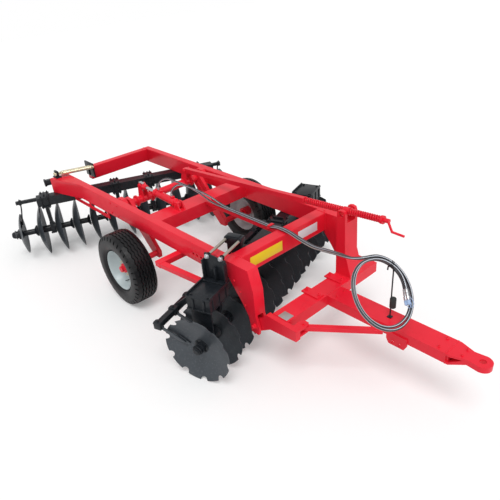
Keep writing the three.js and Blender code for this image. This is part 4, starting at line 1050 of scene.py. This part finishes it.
# ---------- wheels ----------
def tyre_master():
    """Ribbed implement tyre on the Z axis: zigzag grooves, scalloped shoulders and ringed side walls."""
    half, tread, bead = TYRE_HALF, TREAD_RADIUS, BEAD_RADIUS
    sides = 144
    wall = [(half * .66, bead), (half * .76, bead + .010), (half * .80, bead + .016),
            (half * .84, bead + .018), (half * .94, bead + .042), (half * .955, bead + .045),
            (half * .985, bead + .070), (half, tread - .088), (half * .985, tread - .052),
            (half * .94, tread - .030), (half * .87, tread - .010)]
    profile = [(-z, r) for z, r in wall]
    for middle in (-.074, -.037, 0, .037, .074):
        profile += [(middle - .0075, tread), (middle - .0050, tread - .013),
                    (middle + .0050, tread - .013), (middle + .0075, tread)]
    tyre = turned("tyre", profile + wall[::-1], sides, closed=True)
    step = math.tau / sides

    def ring_index(point):
        return math.floor(math.atan2(point.y, point.x) / step + 0.5) % sides

    pick(tyre, "points", lambda p: abs(p.z) < .084 and math.hypot(p.x, p.y) > tread - .02
         and ring_index(p) % 4 in (1, 2))
    bpy.ops.transform.translate(value=(0, 0, 0.0095))
    pick(tyre, "faces", lambda c, n: abs(c.z) > .112 and tread - .052 < math.hypot(c.x, c.y) < tread - .001
         and math.floor(math.atan2(c.y, c.x) / step) % 4 == 0)
    bpy.ops.mesh.inset(thickness=0.0010, depth=-0.010)
    object_mode()
    bpy.ops.object.shade_smooth_by_angle(angle=FACET_ANGLE)
    return tyre


def wheel_disc_profile():
    """Rings of the rim and its dished centre, from the inner bead round to the start."""
    half, seat = TYRE_HALF, BEAD_RADIUS - 0.0008
    return [(half * .76, seat + .004), (half * .72, seat), (half * .60, seat - .010),
            (half * .30, seat - .024), (-half * .20, seat - .024), (-half * .60, seat - .008),
            (-half * .72, seat), (-half * .80, seat + .004), (-half * .82, seat - .002),
            (-half * .74, seat - .010), (-half * .58, seat - .018), (-half * .30, seat - .034),
            (-half * .14, seat - .050), (-half * .02, .160), (half * .02, .140), (-half * .12, .118),
            (-half * .22, .098), (-half * .22, .050), (-half * .12, .050), (half * .02, .098),
            (half * .10, .116), (half * .18, .140), (half * .16, .160), (half * .26, seat - .044),
            (half * .60, seat - .020)]


def add_wheel(side, body, axle_y):
    """Tyre, wheel disc, hub with its cap, nuts and valve; the master's outer face looks along -Z."""
    place = Matrix.Translation(at(0, axle_y, TREAD_RADIUS))
    place = place @ (Z_TO_Y if side == "right" else Z_TO_MINUS_Y)
    dress(put(tyre_master(), place), RUBBER, body, side + "_tyre").name = side + "_tread_tyre"
    rim = put(turned("rim", wheel_disc_profile(), 72, closed=True), place)
    rim.name = side + "_wheel_disc"
    dress(rim, RIM, body, side + "_rim")
    hub = turned("hub", [(-.074, .012), (-.074, .024), (-.070, .030), (-.056, .033), (-.052, .037),
                         (-.046, .052), (-.034, .056), (.020, .058), (.085, .060), (.085, .036)], 40)
    hub = put(hub, place)
    hub.name = side + "_hub"
    dress(hub, RED, body)
    seats, screws = [], []
    outward = place.to_3x3() @ DOWN
    for k in range(6):
        angle = math.tau * k / 6
        spot = Vector((math.cos(angle), math.sin(angle), 0))
        seats.append((place @ (spot * .078 + Vector((0, 0, -TYRE_HALF * .22))), outward))
        screws.append((place @ (spot * .046 + Vector((0, 0, -.0475))), outward))
    dress(bolts(side + "_wheel_nuts", seats, 0.012, 0.008), ZINC, body)
    dress(bolts(side + "_hub_screws", screws, 0.006), RED, body)
    foot, tip = place @ Vector((0, .166, -.012)), place @ Vector((0, .158, -.058))
    valve = rod("valve", foot, tip, .0055, 10, .001)
    valve.name = side + "_valve"
    dress(valve, GRIP, body)


# ---------- lift cylinder and levelling rod ----------
def add_cylinder():
    """Gland with its screws, base cap and port bosses on the barrel, and the clevis on the rod."""
    place = between(CYLINDER_ANCHOR, CYLINDER_EYE)
    along = (CYLINDER_EYE - CYLINDER_ANCHOR).normalized()
    length = (CYLINDER_EYE - CYLINDER_ANCHOR).length
    barrel_end = length * 0.58
    rings = [(-.020, .046), (-.016, .049), (.010, .049), (.014, .044), (.027, .042), (.027, .0215)]
    gland = turned("gland", [(barrel_end + rise, radius) for rise, radius in rings], 32)
    base = turned("base_cap", [(.038, .030), (.050, .046), (.066, .046), (.070, .043)], 32)
    trim = joined("cylinder_trim", [put(gland, place), put(base, place)])
    dress(trim, RED, "lift_cylinder_barrel")
    seats = []
    for k in range(6):
        angle = math.tau * k / 6
        spot = Vector((math.cos(angle) * .0345, math.sin(angle) * .0345, barrel_end + .0268))
        seats.append((place @ spot, along))
    dress(bolts("gland_screws", seats, 0.0055), STEEL, "lift_cylinder_barrel")
    clevis = turned("clevis", [(length - .100, .0225), (length - .098, .030), (length - .060, .034),
                               (length - .036, .034), (length - .030, .028), (length - .030, .0225)], 24)
    dress(put(clevis, place), RED, "lift_cylinder_rod")
    ports = []
    for offset in (.100, .330):
        spot = place @ Vector((0, 0, offset))
        low, high = spot + Vector((-.020, -.018, .030)), spot + Vector((.020, .018, .062))
        ports.append(block("port_boss", low, high, .004))
    dress(joined("port_bosses", ports), RED, "lift_cylinder_barrel")


def add_rockshaft_trim():
    """Collars and stiffeners along the rockshaft."""
    parts = []
    for y in (-.610, -.545, -.395, -.185, .395, .545, .610):
        ends = at(ROCKSHAFT_X, y - .010, ROCKSHAFT_Z), at(ROCKSHAFT_X, y + .010, ROCKSHAFT_Z)
        parts.append(rod("shaft_collar", *ends, .067, 32, .003))
    for side in (-1, 1):
        for offset in (-.032, .032):
            y = side * .500 + offset
            top = at(ROCKSHAFT_X + .035, y, ROCKSHAFT_Z - .040)
            foot = at(ROCKSHAFT_X + .200, y, ROCKSHAFT_Z - .215)
            parts.append(strap("arm_rib", top, foot, .050, .010, LEFT))
    dress(joined("rockshaft_trim", parts), RED, "rockshaft")


def helix(name, start, end, radius, wire, turns):
    """A coil spring between two points, with closed ends."""
    length = (Vector(end) - Vector(start)).length
    per_turn = 20
    points = []
    for k in range(turns * per_turn + 1):
        t = k / (turns * per_turn)
        rise = wire + (length - 2 * wire) * t
        angle = math.tau * k / per_turn
        points.append((radius * math.cos(angle), radius * math.sin(angle), rise))
    return put(sweep(name, points, wire, 8), between(start, end))


def add_springs():
    """The levelling rod's two springs and the collars at their ends."""
    pin = LEVEL_ROD_PIN
    along = (LEVEL_ROD_BLOCK - pin).normalized()
    reach = (LEVEL_ROD_BLOCK - pin).length
    tube_front = reach - .500
    cap_end = reach + .385
    body = "levelling_rod"
    for name, node, start, end, turns in (
            ("rear_spring", "level_spring_rear", tube_front + .001, reach - .035, 18),
            ("front_spring", "level_spring_front", reach + .035, cap_end - .025, 13)):
        spring = helix(name, pin + along * start, pin + along * end, .0250, .0075, turns)
        dress(spring, RED, body, node)
    collars = []
    for start, end, radius in ((tube_front - .010, tube_front + .004, .036),
                               (reach - .040, reach - .034, .032),
                               (reach + .034, reach + .040, .032),
                               (cap_end - .030, cap_end - .022, .036)):
        collars.append(rod("spring_collar", pin + along * start, pin + along * end, radius, 32, .002))
    dress(joined("spring_collars", collars), RED, body)


# ---------- bolts, welds and plates on the red steel ----------
def weld(name, corners, radius=0.0045):
    """A rippled bead along straight runs, half sunk in the corner it fills."""
    path = []
    for a, b in zip(corners, corners[1:]):
        a, b = Vector(a), Vector(b)
        steps = max(2, int((b - a).length / 0.008))
        path.extend(a.lerp(b, i / steps) for i in range(steps))
    path.append(Vector(corners[-1]))
    bead = sweep(name, path, radius, 8)
    only(bead)
    for ring in range(0, len(path), 2):
        for k in range(8):
            point = bead.data.vertices[ring * 8 + k]
            point.co = path[ring] + (point.co - path[ring]) * 1.18
    return bead


def box_seam(low, high, axis, place):
    """The corners of a bar's section, closed, at one place along an axis."""
    low, high = Vector(low), Vector(high)
    a, b = [i for i in range(3) if i != axis]
    corners = []
    for first, second in ((0, 0), (1, 0), (1, 1), (0, 1), (0, 0)):
        point = Vector((0, 0, 0))
        point[axis] = place
        point[a] = high[a] if first else low[a]
        point[b] = high[b] if second else low[b]
        corners.append(point)
    return corners


def add_welds():
    """Beads round the ends of the crossbeams, the bearings, the mast's foot and the drawbar's ends."""
    frame_beads, draw_beads = [], []
    for node, ends in (("frame_front_crossbeam", (0, 1)), ("frame_crossmember", (0, 1)),
                       ("frame_rear_crossbeam", (1,))):
        low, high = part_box(node)
        if node == "frame_crossmember":
            high = (high[0], high[1], at(0, 0, .966).z)
        for end in ends:
            place = (low, high)[end][1]
            frame_beads.append(weld("bead", box_seam(low, high, 1, place)))
    for node in ("rockshaft_bearing_left", "rockshaft_bearing_right"):
        low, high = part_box(node)
        frame_beads.append(weld("bead", [(low[0], low[1], low[2]), (low[0], high[1], low[2])]))
    low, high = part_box("mast")
    foot = at(0, 0, .598).z
    front = high[0] - .002
    corners = [(low[0], low[1]), (front, low[1]), (front, high[1]), (low[0], high[1]), (low[0], low[1])]
    draw_beads.append(weld("bead", [(x, y, foot) for x, y in corners], .005))
    low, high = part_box("drawbar")
    top = at(0, 0, DRAWBAR_TOP).z
    bottom = at(0, 0, .500).z
    left, right = at(0, .1, 0).y, at(0, -.1, 0).y
    section = ((right, bottom), (right, top), (left, top), (left, bottom))
    for x, radius in ((low[0], .005), (high[0], .0035)):
        draw_beads.append(weld("bead", [(x, y, z) for y, z in section], radius))
    dress(joined("frame_welds", frame_beads), RED, "frame")
    dress(joined("drawbar_welds", draw_beads), RED, "drawbar_assembly")


def add_red_bolts():
    """Painted bolt heads on the frame, the bearings, the lower crossbar and the drawbar."""
    leg_face = .7055
    frame_seats = []
    for x, y in ((1.545, -.60), (1.545, .60), (-1.80, -.55), (-1.80, .55)):
        frame_seats.append((at(x, y, FRAME_TOP), UP))
    for side, face in ((-leg_face, RIGHT), (leg_face, LEFT)):
        for x, z in ((1.62, .83), (1.69, .74), (1.74, .62)):
            frame_seats.append((at(x, side, z), face))
    for side, face in ((-SIDE_FACE, RIGHT), (SIDE_FACE, LEFT)):
        for x, z in ((-.535, .95), (-.39, .95), (-.535, .83), (-.39, .83)):
            frame_seats.append((at(x, side, z), face))
    dress(bolts("frame_bolts", frame_seats, 0.009), RED, "frame")
    clamp_seats = []
    for y in (-.162, .161):
        for x in (1.975, 2.118):
            clamp_seats.append((at(x, y, .610), UP))
    dress(bolts("crossbar_bolts", clamp_seats, 0.014, 0.016), RED, "drawbar_assembly")
    draw_seats = []
    for x, y in ((2.235, .055), (3.225, .062), (3.400, .040)):
        draw_seats += [(at(x, -y, DRAWBAR_TOP), UP), (at(x, y, DRAWBAR_TOP), UP)]
    draw_seats += [(at(x, -.113, .462), RIGHT) for x in (2.857, 2.923)]
    dress(bolts("drawbar_bolts", draw_seats, 0.011, 0.010), RED, "drawbar_assembly")
    pins = [(at(1.827, -leg_face, .430), RIGHT), (at(1.827, leg_face, .430), LEFT)]
    dress(bolts("foot_pin_heads", pins, 0.020), RED, "frame")


def add_labels():
    pieces = (
        ("warning_film_blank", (1.5823, -.472, .835), (1.5833, -.058, .937), YELLOW, "frame"),
        ("white_film_blank", (1.5823, .165, .842), (1.5833, .446, .936), WHITE, "frame"),
    )
    for name, low, high, finish, body in pieces:
        dress(block(name, at(*low), at(*high), .0004), finish, body)
    plate = block("type_plate_blank", at(2.037, -.605, .5963), at(2.142, -.515, .5978), .0006)
    dress(plate, PLATE, "drawbar_assembly")


# ---------- the machine ----------
FRAME_RED = ("frame_side_beam_left", "frame_side_beam_right", "frame_rear_crossbeam", "frame_front_crossbeam",
             "frame_leg_left", "frame_leg_right", "frame_crossmember", "rockshaft_bearing_left",
             "rockshaft_bearing_right", "hose_support_bar", "gang_outrigger_right", "rear_gang_brace_right")
DRAW_RED = ("drawbar_arm_left", "drawbar_arm_right", "lower_crossbar", "mast", "drawbar", "hitch_tongue",
            "drawbar_stay")

add_camera()
add_stage()
add_hoses()
add_stand()
for node in FRAME_RED:
    bar = rounded(node, RED, "frame", 0.007 if "beam" in node else 0.004)
    if node == "frame_side_beam_right":
        drilled(bar, [(at(x, -SIDE_FACE, .866), RIGHT) for x in (1.019, 1.073, 1.136)], 0.015, 0.030)
for node in DRAW_RED:
    rounded(node, RED, "drawbar_assembly", 0.004)
for node in ("rockshaft_tube", "wheel_arm_left", "wheel_arm_right"):
    rounded(node, RED, "rockshaft", 0.004)
for node in ("level_rod", "trunnion_block"):
    rounded(node, RED, "levelling_rod", 0.003)
rounded("cylinder_barrel", RED, "lift_cylinder_barrel", 0.002)
rounded("cylinder_rod", CHROME, "lift_cylinder_rod", 0.002)
for node in ("front_gang_beam", "front_scraper_bar", "rear_gang_beam", "rear_scraper_bar"):
    rounded(node, BLACK, "frame", 0.004)
add_gang("front", FRONT_GANG, -1, NOTCHES, FRONT_BAYS, "front_disc_gang", "front_discs", False)
add_gang("rear", REAR_GANG, 1, 0, REAR_BAYS, "rear_disc_gang", "rear_discs", True)
add_hangers("front", FRONT_GANG, FRONT_BAYS, FRONT_BOXED_BAYS)
add_hangers("rear", REAR_GANG, REAR_BAYS, ())
add_scrapers()
add_front_clamp()
add_rear_clamp()
add_end_boxes()
add_wheel("right", "right_wheel", -WHEEL_Y)
add_wheel("left", "left_wheel", WHEEL_Y)
add_cylinder()
add_rockshaft_trim()
add_springs()
add_welds()
add_red_bolts()
add_labels()
